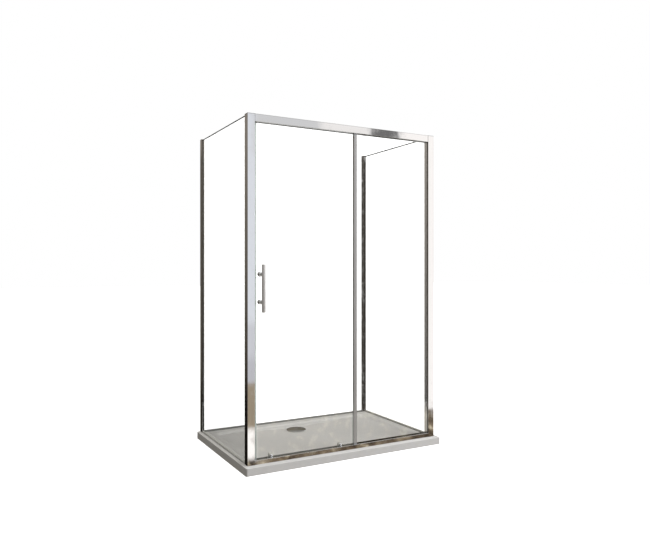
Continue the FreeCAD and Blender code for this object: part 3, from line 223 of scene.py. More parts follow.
for number, (wide, deep, corner, level, x, y) in enumerate(outline, start=1):
    if corner is None:
        bpy.ops.mesh.primitive_circle_add(
            vertices=4 * (CORNER_STEPS + 1), radius=wide, location=(x, y, level)
        )
    else:
        bpy.ops.mesh.primitive_plane_add(size=2, location=(x, y, level))
        bpy.ops.transform.resize(value=(wide, deep, 1), center_override=(x, y, level))
        bpy.ops.mesh.bevel(offset=corner, segments=CORNER_STEPS, affect="VERTICES")
        bpy.ops.mesh.delete(type="ONLY_FACE")
    loops = bmesh.from_edit_mesh(tray.data)
    tag = loops.verts.layers.int["loop"]
    for vertex in loops.verts:
        vertex[tag] = vertex[tag] or number
    bmesh.update_edit_mesh(tray.data)


def loop_of(vertex):
    """The number of the loop that a vertex of the tray was made with."""
    return vertex[bmesh.from_edit_mesh(tray.data).verts.layers.int["loop"]]


for number in range(1, len(outline) + 1):
    pair = (number, number % len(outline) + 1)
    pick("VERT", lambda vertex: loop_of(vertex) in pair)
    bpy.ops.mesh.select_mode(type="EDGE")
    bpy.ops.mesh.bridge_edge_loops()
# How round each loop's moulded edge is, as a share of the largest rounding.
EDGE_ROUNDING = {2: 0.3, 3: 0.9, 4: 1.0, 6: 0.15}
rounded = bmesh.from_edit_mesh(tray.data)
weight = rounded.edges.layers.float.new("bevel_weight_edge")
for edge in rounded.edges:
    numbers = {loop_of(vertex) for vertex in edge.verts}
    if len(numbers) == 1:
        edge[weight] = EDGE_ROUNDING.get(numbers.pop(), 0.0)
bmesh.update_edit_mesh(tray.data)
bpy.ops.mesh.select_all(action="SELECT")
bpy.ops.mesh.normals_make_consistent(inside=False)
bpy.ops.object.mode_set(mode="OBJECT")
apply_modifier(tray, "BEVEL", {
    "width": LARGEST_ROUNDING, "segments": 6, "limit_method": "WEIGHT", "use_clamp_overlap": False,
})
# Where a fold runs out at the floor's edge, the rounding throws a corner outside the tray.
bpy.ops.object.mode_set(mode="EDIT")
pick("VERT", lambda vertex: abs(vertex.co.x) > half_x + 0.01 * MM)
bpy.ops.mesh.dissolve_verts()
end(tray, 35)
apply_modifier(tray, "WEIGHTED_NORMAL", {"keep_sharp": True, "weight": 90})
hand_over(tray, "shower_tray", "acrylic_tray", "frame", gloss_white_acrylic())


# ---------------------------------------------------------------- joint strip along the wall
# A soft grey PVC strip, extruded with a sloping face, and pressed into the joint between the tray
# and the wall. The gaskets, the sills and the magnetic strip's cover are of the same kind of PVC.


def finish_nodes(material, *names):
    """Gives carried-over nodes a material."""
    for name in names:
        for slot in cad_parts[name].material_slots:
            slot.material = material


# Soft extruded PVC: a dull skin with a grain of 0.9 mm, coarser than the real one so that it shows,
# and a little bloom. Up to a given height it may be darkened with a painted contact shadow.
def soft_pvc(name, colour, darker, roughness, painted_shadow_top=None):
    material, output = start_material(name)
    place = add_node(material, "ShaderNodeTexCoord")
    bloom = add_node(
        material, "ShaderNodeTexNoise", {"Scale": 1 / (14 * MM), "Detail": 4.0},
        {"Vector": (place, "Object")},
    )
    tone = add_node(
        material, "ShaderNodeMix",
        {"data_type": "RGBA", 6: linear(darker), 7: linear(colour)}, {0: (bloom, "Fac")},
    )
    # Painted shadow: up to the given height the tone is darkened, standing for the contact shadow
    # where the piece meets the tray.
    if painted_shadow_top is not None:
        parts = add_node(material, "ShaderNodeSeparateXYZ", {}, {0: (place, "Object")})
        shadow_band = add_node(
            material, "ShaderNodeMath", {"operation": "LESS_THAN", 1: painted_shadow_top}, {0: (parts, "Z")}
        )
        tone = add_node(
            material, "ShaderNodeMix", {"data_type": "RGBA", 7: linear("#2B2C2A")},
            {0: (shadow_band, 0), 6: (tone, 2)},
        )
    dull = add_node(
        material, "ShaderNodeMapRange", {"To Min": roughness - 0.08, "To Max": roughness + 0.08},
        {"Value": (bloom, "Fac")},
    )
    skin = add_node(
        material, "ShaderNodeTexNoise", {"Scale": 1 / (0.9 * MM), "Detail": 2.0},
        {"Vector": (place, "Object")},
    )
    bump = add_node(
        material, "ShaderNodeBump", {"Strength": 0.2, "Distance": 0.04 * MM},
        {"Height": (skin, "Fac")},
    )
    return show(material, output, add_node(
        material, "ShaderNodeBsdfPrincipled", {"IOR": 1.53},
        {"Base Color": (tone, 2), "Roughness": (dull, 0), "Normal": (bump, 0)},
    ))


finish_nodes(soft_pvc("soft_grey_pvc", "#8A8B89", "#747573", 0.5), "tray_wall_seal")
# The glazing gaskets are dark at the side panes and lighter at the fixed pane, and the magnetic
# strip's cover is pale.
finish_nodes(soft_pvc("dark_grey_pvc", "#444543", "#323331", 0.5), "side_gaskets")
finish_nodes(soft_pvc("mid_grey_pvc", "#827C73", "#726C64", 0.5), "fixed_gaskets")
finish_nodes(soft_pvc("pale_grey_pvc", "#CFCFCC", "#BDBDBA", 0.45), "post_magnet_strip")
# The sills under the side panes are darkened 2.5 mm up from the tray with a painted contact shadow.
shadowed_sill_pvc = soft_pvc(
    "pale_grey_pvc_with_painted_shadow", "#EDEDE9", "#E0E0DC", 0.45, painted_shadow_top=TRAY_TOP + 2.5 * MM
)
finish_nodes(shadowed_sill_pvc, "side_sills")


# ---------------------------------------------------------------- waste
# A white polypropylene waste body with a rubber ring and a nut, and a pressed brass cover, chrome
# plated, that stands on three feet and lifts out by hand.


# Moulded plastic or rubber: dull to waxy, with the mould's spark-eroded grain, 0.5 mm unless given,
# and tones that shift where the melt has flowed.
def moulded_plastic(name, colour, paler, roughness, grain=0.5):
    material, output = start_material(name)
    place = add_node(material, "ShaderNodeTexCoord")
    flow = add_node(
        material, "ShaderNodeTexNoise", {"Scale": 1 / (25 * MM), "Detail": 3.0},
        {"Vector": (place, "Object")},
    )
    eroded = add_node(
        material, "ShaderNodeTexNoise", {"Scale": 1 / (grain * MM), "Detail": 3.0},
        {"Vector": (place, "Object")},
    )
    tone = add_node(
        material, "ShaderNodeMix",
        {"data_type": "RGBA", 6: linear(colour), 7: linear(paler)}, {0: (flow, "Fac")},
    )
    sheen = add_node(
        material, "ShaderNodeMapRange", {"To Min": roughness - 0.06, "To Max": roughness + 0.1},
        {"Value": (eroded, "Fac")},
    )
    bump = add_node(
        material, "ShaderNodeBump", {"Strength": 0.35, "Distance": 0.04 * MM},
        {"Height": (eroded, "Fac")},
    )
    return show(material, output, add_node(
        material, "ShaderNodeBsdfPrincipled", {"IOR": 1.5},
        {"Base Color": (tone, 2), "Roughness": (sheen, 0), "Normal": (bump, 0)},
    ))


# Bright chrome plate over polished brass: a near mirror, with the faint orange peel of buffing at
# 6 mm and a trace of wiping marks in its gloss.
def chrome_plate():
    material, output = start_material("chrome_plate")
    place = add_node(material, "ShaderNodeTexCoord")
    peel = add_node(
        material, "ShaderNodeTexNoise", {"Scale": 1 / (6 * MM), "Detail": 2.0},
        {"Vector": (place, "Object")},
    )
    wiped = add_node(
        material, "ShaderNodeTexNoise", {"Scale": 1 / (18 * MM), "Detail": 6.0, "Distortion": 0.6},
        {"Vector": (place, "Object")},
    )
    gloss = add_node(
        material, "ShaderNodeMapRange",
        {"From Min": 0.3, "From Max": 0.7, "To Min": 0.03, "To Max": 0.11},
        {"Value": (wiped, "Fac")},
    )
    bump = add_node(
        material, "ShaderNodeBump", {"Strength": 0.12, "Distance": 0.03 * MM},
        {"Height": (peel, "Fac")},
    )
    return show(material, output, add_node(
        material, "ShaderNodeBsdfPrincipled", {"Metallic": 1.0, "Base Color": linear("#E9EAEC")},
        {"Roughness": (gloss, 0), "Normal": (bump, 0)},
    ))


def turned(name, profile, centre, axis, steps=48):
    """A piece turned on a lathe: (radius, distance along the axis) points in mm, spun about it."""
    axis = Vector(axis)
    outwards = Vector((1, 0, 0)) if abs(axis.x) < 0.5 else Vector((0, 0, 1))
    points = [
        Vector(centre) + outwards * (radius * MM) + axis * (far * MM) for radius, far in profile
    ]
    bpy.ops.object.select_all(action="DESELECT")
    bpy.ops.mesh.primitive_plane_add(size=1 * MM, location=(0, 0, 0))
    piece = begin(name)
    bpy.ops.mesh.select_mode(type="VERT")
    bpy.ops.mesh.select_all(action="SELECT")
    bpy.ops.mesh.merge(type="CENTER")
    bpy.ops.transform.translate(value=points[0])
    for near, far in zip(points, points[1:]):
        bpy.ops.mesh.extrude_vertices_move(TRANSFORM_OT_translate={"value": far - near})
    bpy.ops.mesh.select_all(action="SELECT")
    bpy.ops.mesh.spin(steps=steps, angle=2 * math.pi, center=centre, axis=axis)
    bpy.ops.mesh.select_all(action="SELECT")
    bpy.ops.mesh.remove_doubles(threshold=0.005 * MM)
    bpy.ops.mesh.normals_make_consistent(inside=False)
    return end(piece)


chrome = chrome_plate()
black_rubber = moulded_plastic("moulded_black_rubber", "#17181A", "#26272A", 0.6, 0.8)
finish_nodes(
    moulded_plastic("white_polypropylene", "#D9D9D4", "#E8E8E4", 0.38),
    "waste_flange", "waste_locknut",
)
finish_nodes(black_rubber, "waste_gasket", "track_stops", "setting_blocks")

COVER_RADIUS = 59
COVER_EDGE = 1.6
COVER_RISE = 4.0
COVER_BOTTOM = 27 * MM
# The pressed disc: a rolled rim, a shallow dome and a ring pressed round its middle.
dome_line = [
    (reach, COVER_EDGE + COVER_RISE * (1 - (reach / COVER_RADIUS) ** 2))
    for reach in (50, 44, 38, 31, 24, 17, 12)
]
waste_cover = turned(
    "waste_cover_disc",
    [(0, 0), (57.6, 0), (58.6, 0.3), (59, 0.9), (58.8, 1.5), (57.6, 1.9), (53, 2.0), (51.6, 2.3)]
    + dome_line + [(9, 5.3), (7.6, 4.9), (6.2, 5.3), (3, 5.55), (0, COVER_EDGE + COVER_RISE)],
    (WASTE_X, WASTE_Y, COVER_BOTTOM), (0, 0, 1), 72,
)
bpy.ops.object.mode_set(mode="EDIT")
for third in range(3):
    turn = math.pi / 2 + third * 2 * math.pi / 3
    # Inside, a long lug that centres the cover in the throat; further out, a short foot.
    for reach, length in ((35.7, 11), (47.5, 3)):
        bpy.ops.mesh.select_all(action="DESELECT")
        bpy.ops.mesh.primitive_circle_add(
            vertices=20, radius=3 * MM, fill_type="NGON",
            location=(
                WASTE_X + reach * MM * math.cos(turn),
                WASTE_Y + reach * MM * math.sin(turn), COVER_BOTTOM,
            ),
        )
        bpy.ops.mesh.extrude_region_move(TRANSFORM_OT_translate={"value": (0, 0, -length * MM)})
        bpy.ops.mesh.bevel(offset=0.5 * MM, segments=2, affect="EDGES")
bpy.ops.mesh.select_all(action="SELECT")
bpy.ops.mesh.normals_make_consistent(inside=False)
end(waste_cover)
hand_over(waste_cover, "waste_cover", "chrome", "waste_cover", chrome)


# ---------------------------------------------------------------- posts, rails and wall profiles
# Extruded aluminium, buffed bright and anodised. Cut to length, screwed together at the corners
# through blocks in the rails' ends; the wall profiles slide in channels screwed to the wall.

ALONG_X, ALONG_Z = 0, 2
LINES_DRAWN_OUT = 250


# Drawn and buffed metal: drawing lines run along the profile (about 0.8 mm apart, coarser than the
# real ones so that they show), the wall waves a little at 70 mm, and handling dulls it in places.
# Painted shade lines, where given, darken a rail's two cut ends, standing for the shade in the
# hairline joints, and its top edge, each with its axis, its side, its place in mm and its depth of
# shade.
def drawn_metal(name, along, colour="#EFEFF0", roughness=0.03, metallic=1.0, joints=()):
    material, output = start_material(name)
    place = add_node(material, "ShaderNodeTexCoord")
    stretch = [1.0, 1.0, 1.0]
    stretch[along] /= LINES_DRAWN_OUT
    lengthways = add_node(
        material, "ShaderNodeMapping", {"Scale": stretch}, {"Vector": (place, "Object")}
    )
    lines = add_node(
        material, "ShaderNodeTexNoise", {"Scale": 1 / (0.8 * MM), "Detail": 2.0},
        {"Vector": (lengthways, 0)},
    )
    waves = add_node(
        material, "ShaderNodeTexNoise", {"Scale": 1 / (70 * MM), "Detail": 1.0},
        {"Vector": (place, "Object")},
    )
    handled = add_node(
        material, "ShaderNodeTexNoise", {"Scale": 1 / (45 * MM), "Detail": 6.0},
        {"Vector": (place, "Object")},
    )
    dulled = add_node(
        material, "ShaderNodeMapRange",
        {"From Min": 0.45, "From Max": 0.75, "To Min": roughness, "To Max": roughness + 0.06},
        {"Value": (handled, "Fac")},
    )
    tone = add_node(
        material, "ShaderNodeMix",
        {"data_type": "RGBA", 6: linear(colour), 7: linear("#E4E4E6")}, {0: (lines, "Fac")},
    )
    parts = add_node(material, "ShaderNodeSeparateXYZ", {}, {0: (place, "Object")})
    # Beyond each limit the tone is mixed towards near black: painted shade.
    for axis, side, limit, shade in joints:
        beyond = add_node(
            material, "ShaderNodeMath", {"operation": side, 1: limit * MM}, {0: (parts, axis)}
        )
        weight = add_node(
            material, "ShaderNodeMath", {"operation": "MULTIPLY", 1: shade}, {0: (beyond, 0)}
        )
        tone = add_node(
            material, "ShaderNodeMix", {"data_type": "RGBA", 7: linear("#1C1B19")},
            {0: (weight, 0), 6: (tone, 2)},
        )
    waved = add_node(
        material, "ShaderNodeBump", {"Strength": 0.3, "Distance": 0.2 * MM},
        {"Height": (waves, "Fac")},
    )
    lined = add_node(
        material, "ShaderNodeBump", {"Strength": 0.06, "Distance": 0.01 * MM},
        {"Height": (lines, "Fac"), "Normal": (waved, 0)},
    )
    return show(material, output, add_node(
        material, "ShaderNodeBsdfPrincipled", {"Metallic": metallic},
        {"Base Color": (tone, 2), "Roughness": (dulled, 0), "Normal": (lined, 0)},
    ))


finish_nodes(
    drawn_metal("bright_aluminium_uprights", ALONG_Z), "post_left", "post_right",
    "wall_channel_left", "wall_channel_right", "side_profile_left", "side_profile_right",
)
# The rails' ends are darkened with painted shade at the joints with the posts, and the header's top
# edge with a painted shade line.
finish_nodes(
    drawn_metal("bright_aluminium_rails", ALONG_X, joints=[
        ("X", "LESS_THAN", -539.1, 0.7), ("X", "GREATER_THAN", 536.5, 0.4),
        ("Z", "GREATER_THAN", 1786.5, 0.25),
    ]),
    "header_rail", "bottom_rail", "header_infill", "rail_infill",
)
finish_nodes(
    moulded_plastic("grey_moulded_plastic", "#8E8F91", "#9B9C9E", 0.42),
    "post_caps", "header_brackets", "rail_brackets", "edge_profile_feet",
)
# The bar on the fixed panel is the same extrusion, given a greyer colour and a rougher gloss.
finish_nodes(
    drawn_metal("satin_aluminium_bar", ALONG_Z, "#C4C4C4", 0.42), "fixed_edge_profile"
)


# Turned stainless steel: fine tool marks of 0.7 mm in a soft sheen.
def turned_steel():
    material, output = start_material("turned_stainless_steel")
    place = add_node(material, "ShaderNodeTexCoord")
    marks = add_node(
        material, "ShaderNodeTexNoise", {"Scale": 1 / (0.7 * MM), "Detail": 3.0},
        {"Vector": (place, "Object")},
    )
    gloss = add_node(
        material, "ShaderNodeMapRange", {"To Min": 0.16, "To Max": 0.34}, {"Value": (marks, "Fac")}
    )
    return show(material, output, add_node(
        material, "ShaderNodeBsdfPrincipled", {"Metallic": 1.0, "Base Color": linear("#B9B9B8")},
        {"Roughness": (gloss, 0)},
    ))


steel = turned_steel()
finish_nodes(steel, "frame_screws", "adjust_screws")
finish_nodes(chrome, "adjust_caps")


# ---------------------------------------------------------------- glass panes
# 6 mm toughened float glass, cut and seamed before toughening: clear through its faces, dark green
# and dull along the free ground edges. Below a free top edge the faces carry a painted dark band,
# which stands for the edge as it shows through the glass. Seals, profiles and caps cover its other
# edges and holes.


# Clear float glass. Lamps reach what stands behind it, as they do through a thin pane.
def float_glass():
    material, output = start_material("clear_float_glass")
    glass = add_node(
        material, "ShaderNodeBsdfPrincipled",
        {
            "Base Color": linear("#FDFDFC"), "Roughness": 0.0, "IOR": 1.52,
            "Transmission Weight": 1.0,
        },
    )
    passed = add_node(material, "ShaderNodeBsdfTransparent", {"Color": linear("#F9F9F7")})
    path = add_node(material, "ShaderNodeLightPath")
    return show(material, output, add_node(
        material, "ShaderNodeMixShader", {},
        {0: (path, "Is Shadow Ray"), 1: (glass, 0), 2: (passed, 0)},
    ))


# The ground edge: the pane's own green seen lengthways, under a fine grind of 0.4 mm. It is also
# the painted dark band on the faces below a free top edge.
def ground_edge_and_painted_band():
    material, output = start_material("ground_edge_and_painted_band")
    place = add_node(material, "ShaderNodeTexCoord")
    grind = add_node(
        material, "ShaderNodeTexNoise", {"Scale": 1 / (0.4 * MM), "Detail": 2.0},
        {"Vector": (place, "Object")},
    )
    tone = add_node(
        material, "ShaderNodeMix",
        {"data_type": "RGBA", 6: linear("#1A211E"), 7: linear("#2C3834")}, {0: (grind, "Fac")},
    )
    bump = add_node(
        material, "ShaderNodeBump", {"Strength": 0.3, "Distance": 0.02 * MM},
        {"Height": (grind, "Fac")},
    )
    return show(material, output, add_node(
        material, "ShaderNodeBsdfPrincipled",
        {"Roughness": 0.6, "Specular IOR Level": 0.1, "IOR": 1.52},
        {"Base Color": (tone, 2), "Normal": (bump, 0)},
    ))


clear_glass = float_glass()
edge_and_band_glass = ground_edge_and_painted_band()
SEAMED = 2.0 * MM
PAINTED_BAND_DEPTH = 7.0 * MM


def settle():
    """In edit mode, moves the piece's place and size into its mesh and selects all of it."""
    bpy.ops.object.mode_set(mode="OBJECT")
    bpy.ops.object.transform_apply(location=True, rotation=True, scale=True)
    bpy.ops.object.mode_set(mode="EDIT")
    bpy.ops.mesh.select_all(action="SELECT")


def cuboid(name, low, high):
    """A cuboid between two corners, open in edit mode with all of it selected."""
    bpy.ops.object.select_all(action="DESELECT")
    bpy.ops.mesh.primitive_cube_add(size=1, location=(low + high) / 2, scale=high - low)
    piece = begin(name)
    settle()
    return piece


def glass_pane(name, node, body, free_top):
    """A pane where a node stands, with seamed edges; a free top edge has a painted dark band below
    it.
    """
    low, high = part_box(node)
    pane = cuboid(name, low, high)
    bpy.ops.mesh.bevel(offset=SEAMED, segments=1, affect="EDGES")
    line = high.z - PAINTED_BAND_DEPTH
    bpy.ops.mesh.select_all(action="SELECT")
    if free_top:
        bpy.ops.mesh.bisect(plane_co=(0, 0, line), plane_no=(0, 0, 1))
    pick("FACE", lambda face: free_top and face.calc_center_median().z > line)
    end(pane, 10)
    hand_over(pane, node, "toughened_glass", body, clear_glass, edge_and_band_glass)
    for face in pane.data.polygons:
        face.material_index = int(face.select)


glass_pane("side_pane_left", "side_glass_left", "frame", free_top=True)
glass_pane("side_pane_right", "side_glass_right", "frame", free_top=True)
glass_pane("fixed_pane", "fixed_glass", "frame", free_top=False)
glass_pane("door_pane", "door_glass", "door", free_top=False)


# ---------------------------------------------------------------- door's seals
# Clear soft PVC, extruded: clip seals pushed on the pane's edges, and the fin on the fixed panel's
# bar. The washers under the handle's feet are cut from the same PVC.


# Clear soft PVC: milky where it is thick, with a skin of fine grain and a little bloom.
def clear_soft_pvc():
    material, output = start_material("clear_soft_pvc")
    place = add_node(material, "ShaderNodeTexCoord")
    bloom = add_node(
        material, "ShaderNodeTexNoise", {"Scale": 1 / (12 * MM), "Detail": 3.0},
        {"Vector": (place, "Object")},
    )
    tone = add_node(
        material, "ShaderNodeMix",
        {"data_type": "RGBA", 6: linear("#E2E6E4"), 7: linear("#F2F4F3")}, {0: (bloom, "Fac")},
    )
    dull = add_node(
        material, "ShaderNodeMapRange", {"To Min": 0.28, "To Max": 0.42}, {"Value": (bloom, "Fac")}
    )
    skin = add_node(
        material, "ShaderNodeTexNoise", {"Scale": 1 / (1.2 * MM), "Detail": 2.0},
        {"Vector": (place, "Object")},
    )
    bump = add_node(
        material, "ShaderNodeBump", {"Strength": 0.2, "Distance": 0.04 * MM},
        {"Height": (skin, "Fac")},
    )
    skin_of_pvc = add_node(
        material, "ShaderNodeBsdfPrincipled", {"IOR": 1.53, "Transmission Weight": 0.5},
        {"Base Color": (tone, 2), "Roughness": (dull, 0), "Normal": (bump, 0)},
    )
    passed = add_node(material, "ShaderNodeBsdfTransparent", {"Color": linear("#F0F4F2")})
    return show(material, output, add_node(
        material, "ShaderNodeMixShader", {0: 0.4}, {1: (passed, 0), 2: (skin_of_pvc, 0)}
    ))


finish_nodes(
    clear_soft_pvc(), "edge_fin_seal", "door_magnet_seal", "door_trailing_seal", "door_drip_seal",
    "handle_washers",
)


# ---------------------------------------------------------------- handle
# A satin silver tube on two turned standoffs with flared feet, bolted through the door's pane into
# domed caps on its other side. Its open ends are closed by pressed plugs.


def take(piece, *others):
    """Selects these pieces alone, with the first one active."""
    bpy.ops.object.select_all(action="DESELECT")
    for chosen in (piece, *others):
        chosen.select_set(True)
    bpy.context.view_layer.objects.active = piece


def another(piece, name, shift):
    """A copy of a piece with its own mesh, moved by a shift in mm."""
    take(piece)
    bpy.ops.object.duplicate(linked=False)
    copy = bpy.context.object
    copy.name = name
    copy.data.name = name
    bpy.ops.transform.translate(value=[distance * MM for distance in shift])
    bpy.ops.object.transform_apply(location=True, rotation=True, scale=True)
    return copy


def combine(piece, other, operation):
    """Cuts another piece out of this one, or fuses it on, and removes the other."""
    take(piece)
    apply_modifier(piece, "BOOLEAN", {"operation": operation, "object": other, "solver": "EXACT"})
    bpy.data.objects.remove(other)
    return end(piece)


def join(piece, other):
    """Puts a like piece into the same object."""
    take(piece, other)
    bpy.ops.object.join()
    return piece


# Places are in metres here and for the top rollers, and lengths in mm, as turned takes them.
HANDLE_X, HANDLE_Y = -503.3 * MM, -389 * MM
HANDLE_BOTTOM, HANDLE_LENGTH = 799 * MM, 240
STANDOFF_BOTTOM, STANDOFF_SPACING, STANDOFF_LENGTH = 849 * MM, 140, 38
DOOR_WASHER_FRONT, DOOR_WASHER_BACK = -346 * MM, -338 * MM
satin_silver = drawn_metal("satin_silver_tube", ALONG_Z, "#F6F4F1", 0.6, metallic=0.5)
bar = turned(
    "handle_tube",
    [(8.5, 0.5), (9.3, 0), (9.8, 0.2), (10, 0.7), (10, HANDLE_LENGTH - 0.7),
     (9.8, HANDLE_LENGTH - 0.2), (9.3, HANDLE_LENGTH), (8.5, HANDLE_LENGTH - 0.5), (8.5, 0.5)],
    (HANDLE_X, HANDLE_Y, HANDLE_BOTTOM), (0, 0, 1), 64,
)
hand_over(bar, "handle_bar", "chrome", "door", satin_silver)
plug_line = [(0, 0.2), (6.4, 0.3), (7.8, 0.6), (8.4, 1.3), (8.4, 8), (0, 8)]
plugs = join(
    turned("handle_plugs", plug_line, (HANDLE_X, HANDLE_Y, HANDLE_BOTTOM), (0, 0, 1)),
    turned(
        "top_plug", plug_line, (HANDLE_X, HANDLE_Y, HANDLE_BOTTOM + HANDLE_LENGTH * MM), (0, 0, -1)
    ),
)
hand_over(plugs, "handle_end_caps", "chrome", "door", chrome)
standoff = turned(
    "handle_flared_standoffs",
    [(3.2, 0), (12.2, 0), (12.5, 0.3), (12.3, 0.8), (11.2, 1.4), (9.6, 2.0), (8.2, 2.8), (7.4, 3.8),
     (7, 5.2), (7, STANDOFF_LENGTH), (3.2, STANDOFF_LENGTH), (3.2, 0)],
    (HANDLE_X, DOOR_WASHER_FRONT, STANDOFF_BOTTOM), (0, -1, 0),
)
saddle = turned(
    "saddle", [(0, -20), (10, -20), (10, 20), (0, 20)],
    (HANDLE_X, HANDLE_Y, STANDOFF_BOTTOM), (0, 0, 1), 64,
)
combine(standoff, saddle, "DIFFERENCE")
join(standoff, another(standoff, "upper_standoff", (0, 0, STANDOFF_SPACING)))
hand_over(standoff, "handle_standoffs", "chrome", "door", chrome)
inner_cap = turned(
    "handle_domed_caps",
    [(0, 5), (3.2, 5), (3.2, 0), (12.2, 0), (12.5, 0.4), (12.5, 5.2), (12.1, 6.3), (10.9, 7.2),
     (8.6, 7.7), (5, 7.95), (0, 8)],
    (HANDLE_X, DOOR_WASHER_BACK, STANDOFF_BOTTOM), (0, 1, 0),
)
join(inner_cap, another(inner_cap, "upper_cap", (0, 0, STANDOFF_SPACING)))
hand_over(inner_cap, "handle_inner_caps", "chrome", "door", chrome)
finish_nodes(steel, "handle_bolts")


# ---------------------------------------------------------------- top rollers
# Two nylon wheels, grooved for the header's track and pressed on shielded ball bearings, run on
# steel axles. Chromed bolts with domed heads hold the axles through the door's pane.

ROLLER_LEFT_X, ROLLER_SPAN = -444.3 * MM, 406.3
TOP_AXLE_Z = 1765.55 * MM
TOP_WHEEL_FRONT = -334.8 * MM
BOLT_BACK = -335.5 * MM
white_nylon = moulded_plastic("moulded_white_nylon", "#DEDED8", "#ECECE6", 0.3)
finish_nodes(white_nylon, "glass_washers")
finish_nodes(steel, "hanger_axles")


def domed_bolts(name, radius, level):
    """The two bolts at one height: a screwed end, a shank through the glass and a domed head."""
    dome_tilts = [math.radians(15 * step) for step in range(6)]
    bolt = turned(
        name,
        [(0, 0), (2.2, 0), (2.5, 0.3), (2.5, 3), (4, 3), (4, 10)]
        + [(radius - 0.3, 10), (radius, 10.3)]
        + [(radius * math.cos(tilt), 10.6 + 3.9 * math.sin(tilt)) for tilt in dome_tilts]
        + [(0, 14.5)],
        (ROLLER_LEFT_X, BOLT_BACK, level), (0, -1, 0),
    )
    return join(bolt, another(bolt, "right_bolt", (ROLLER_SPAN, 0, 0)))


top_bolts = domed_bolts("hanger_domed_bolts", 8, TOP_AXLE_Z)
hand_over(top_bolts, "hanger_bolts", "chrome", "door", chrome)
wheel = turned(
    "upper_wheel_left",
    [(6.5, 0), (10.4, 0), (10.9, 0.2), (11, 0.6), (11, 1.4), (10.6, 1.9), (9.5, 1.9), (9.5, 4.1),
     (10.6, 4.1), (11, 4.6), (11, 5.4), (10.9, 5.8), (10.4, 6), (6.5, 6), (6.5, 0)],
    (ROLLER_LEFT_X, TOP_WHEEL_FRONT, TOP_AXLE_Z), (0, 1, 0), 64,
)
bearing_ring = turned(
    "upper_bearing_left",
    [(3.1, 0.2), (4, 0.2), (4.2, 0.7), (5.3, 0.7), (5.5, 0.2), (6.45, 0.2), (6.45, 5.8), (5.5, 5.8),
     (5.3, 5.3), (4.2, 5.3), (4, 5.8), (3.1, 5.8), (3.1, 0.2)],
    (ROLLER_LEFT_X, TOP_WHEEL_FRONT, TOP_AXLE_Z), (0, 1, 0),
)
right_wheel = another(wheel, "upper_wheel_right", (ROLLER_SPAN, 0, 0))
right_bearing = another(bearing_ring, "upper_bearing_right", (ROLLER_SPAN, 0, 0))
hand_over(wheel, "top_wheel_left", "white_nylon", "top_wheel_left", white_nylon)
hand_over(right_wheel, "top_wheel_right", "white_nylon", "top_wheel_right", white_nylon)
hand_over(bearing_ring, "top_bearing_left", "steel", "top_wheel_left", steel)
hand_over(right_bearing, "top_bearing_right", "steel", "top_wheel_right", steel)


# ---------------------------------------------------------------- bottom rollers
# Under each bottom corner of the door a moulded body is held to the pane by a chromed bolt. A
# sprung carriage slides in it and carries a small nylon wheel. Its ribbed button is pressed to free
# the door.


def block(name, low, high, rounding=0):
    """A block between two corners in mm, with its edges rounded, or a plain one to cut with."""
    piece = cuboid(name, Vector(low) * MM, Vector(high) * MM)
    if rounding:
        bpy.ops.mesh.bevel(offset=rounding * MM, segments=3, affect="EDGES")
    return end(piece)


# Places and lengths are all in mm for the bottom rollers, as block takes them.
BOLT_Z = 68
AXLE_Z = 52.25
BODY_FRONT, BODY_BOTTOM = -338.5, 62.5
CARRIAGE_FRONT = -337.5
LOW_WHEEL_FRONT = -332.9
SPRING_REACH, SPRING_Y = 7.5, -331.1
middle = ROLLER_LEFT_X / MM
pale_plastic = moulded_plastic("pale_grey_moulded_plastic", "#D2D2CE", "#DEDEDA", 0.36)
low_bolts = domed_bolts("roller_domed_caps", 9, BOLT_Z * MM)
hand_over(low_bolts, "roller_caps", "chrome", "door", chrome)

body = block(
    "lower_roller_body_left", (middle - 12, BODY_FRONT, BODY_BOTTOM), (middle + 12, -328, 76), 0.9
)
combine(body, block("slot", (middle - 8.2, -337.7, 60), (middle + 8.2, -333.3, 80)), "DIFFERENCE")
boss = turned(
    "boss", [(0, 0.2), (4, 0.2), (4, 9), (0, 9)],
    (ROLLER_LEFT_X, BODY_FRONT * MM, BOLT_Z * MM), (0, 1, 0),
)
combine(body, boss, "UNION")
for offset in (-SPRING_REACH, SPRING_REACH):
    pocket = turned(
        "pocket", [(0, 3), (2.1, 3), (2.1, 16), (0, 16)],
        (ROLLER_LEFT_X + offset * MM, SPRING_Y * MM, BODY_BOTTOM * MM), (0, 0, 1), 24,
    )
    combine(body, pocket, "DIFFERENCE")
right_body = another(body, "lower_roller_body_right", (ROLLER_SPAN, 0, 0))
hand_over(body, "roller_body_left", "grey_plastic", "door", pale_plastic)
hand_over(right_body, "roller_body_right", "grey_plastic", "door", pale_plastic)

carriage = block(
    "sprung_carriage_left", (middle - 8, CARRIAGE_FRONT, 47.3), (middle + 8, -333.5, 79), 0.5
)
opening = block("window", (middle - 4.5, -339, 63.8), (middle + 4.5, -332, 74.9))
combine(carriage, opening, "DIFFERENCE")
button = block("button", (middle - 10, CARRIAGE_FRONT, 78.7), (middle + 10, -328.5, 81.3), 0.8)
for front in (-335.6, -333.4, -331.2):
    groove = block("groove", (middle - 8, front, 80.6), (middle + 8, front + 0.9, 82))
    combine(button, groove, "DIFFERENCE")
combine(carriage, button, "UNION")
axle = turned(
    "axle", [(0, 0), (2, 0), (2, 9), (1.6, 9.5), (0, 9.5)],
    (ROLLER_LEFT_X, -337.4 * MM, AXLE_Z * MM), (0, 1, 0), 32,
)
combine(carriage, axle, "UNION")
right_carriage = another(carriage, "sprung_carriage_right", (ROLLER_SPAN, 0, 0))
hand_over(carriage, "release_carriage_left", "grey_plastic", "release_left", pale_plastic)
hand_over(right_carriage, "release_carriage_right", "grey_plastic", "release_right", pale_plastic)

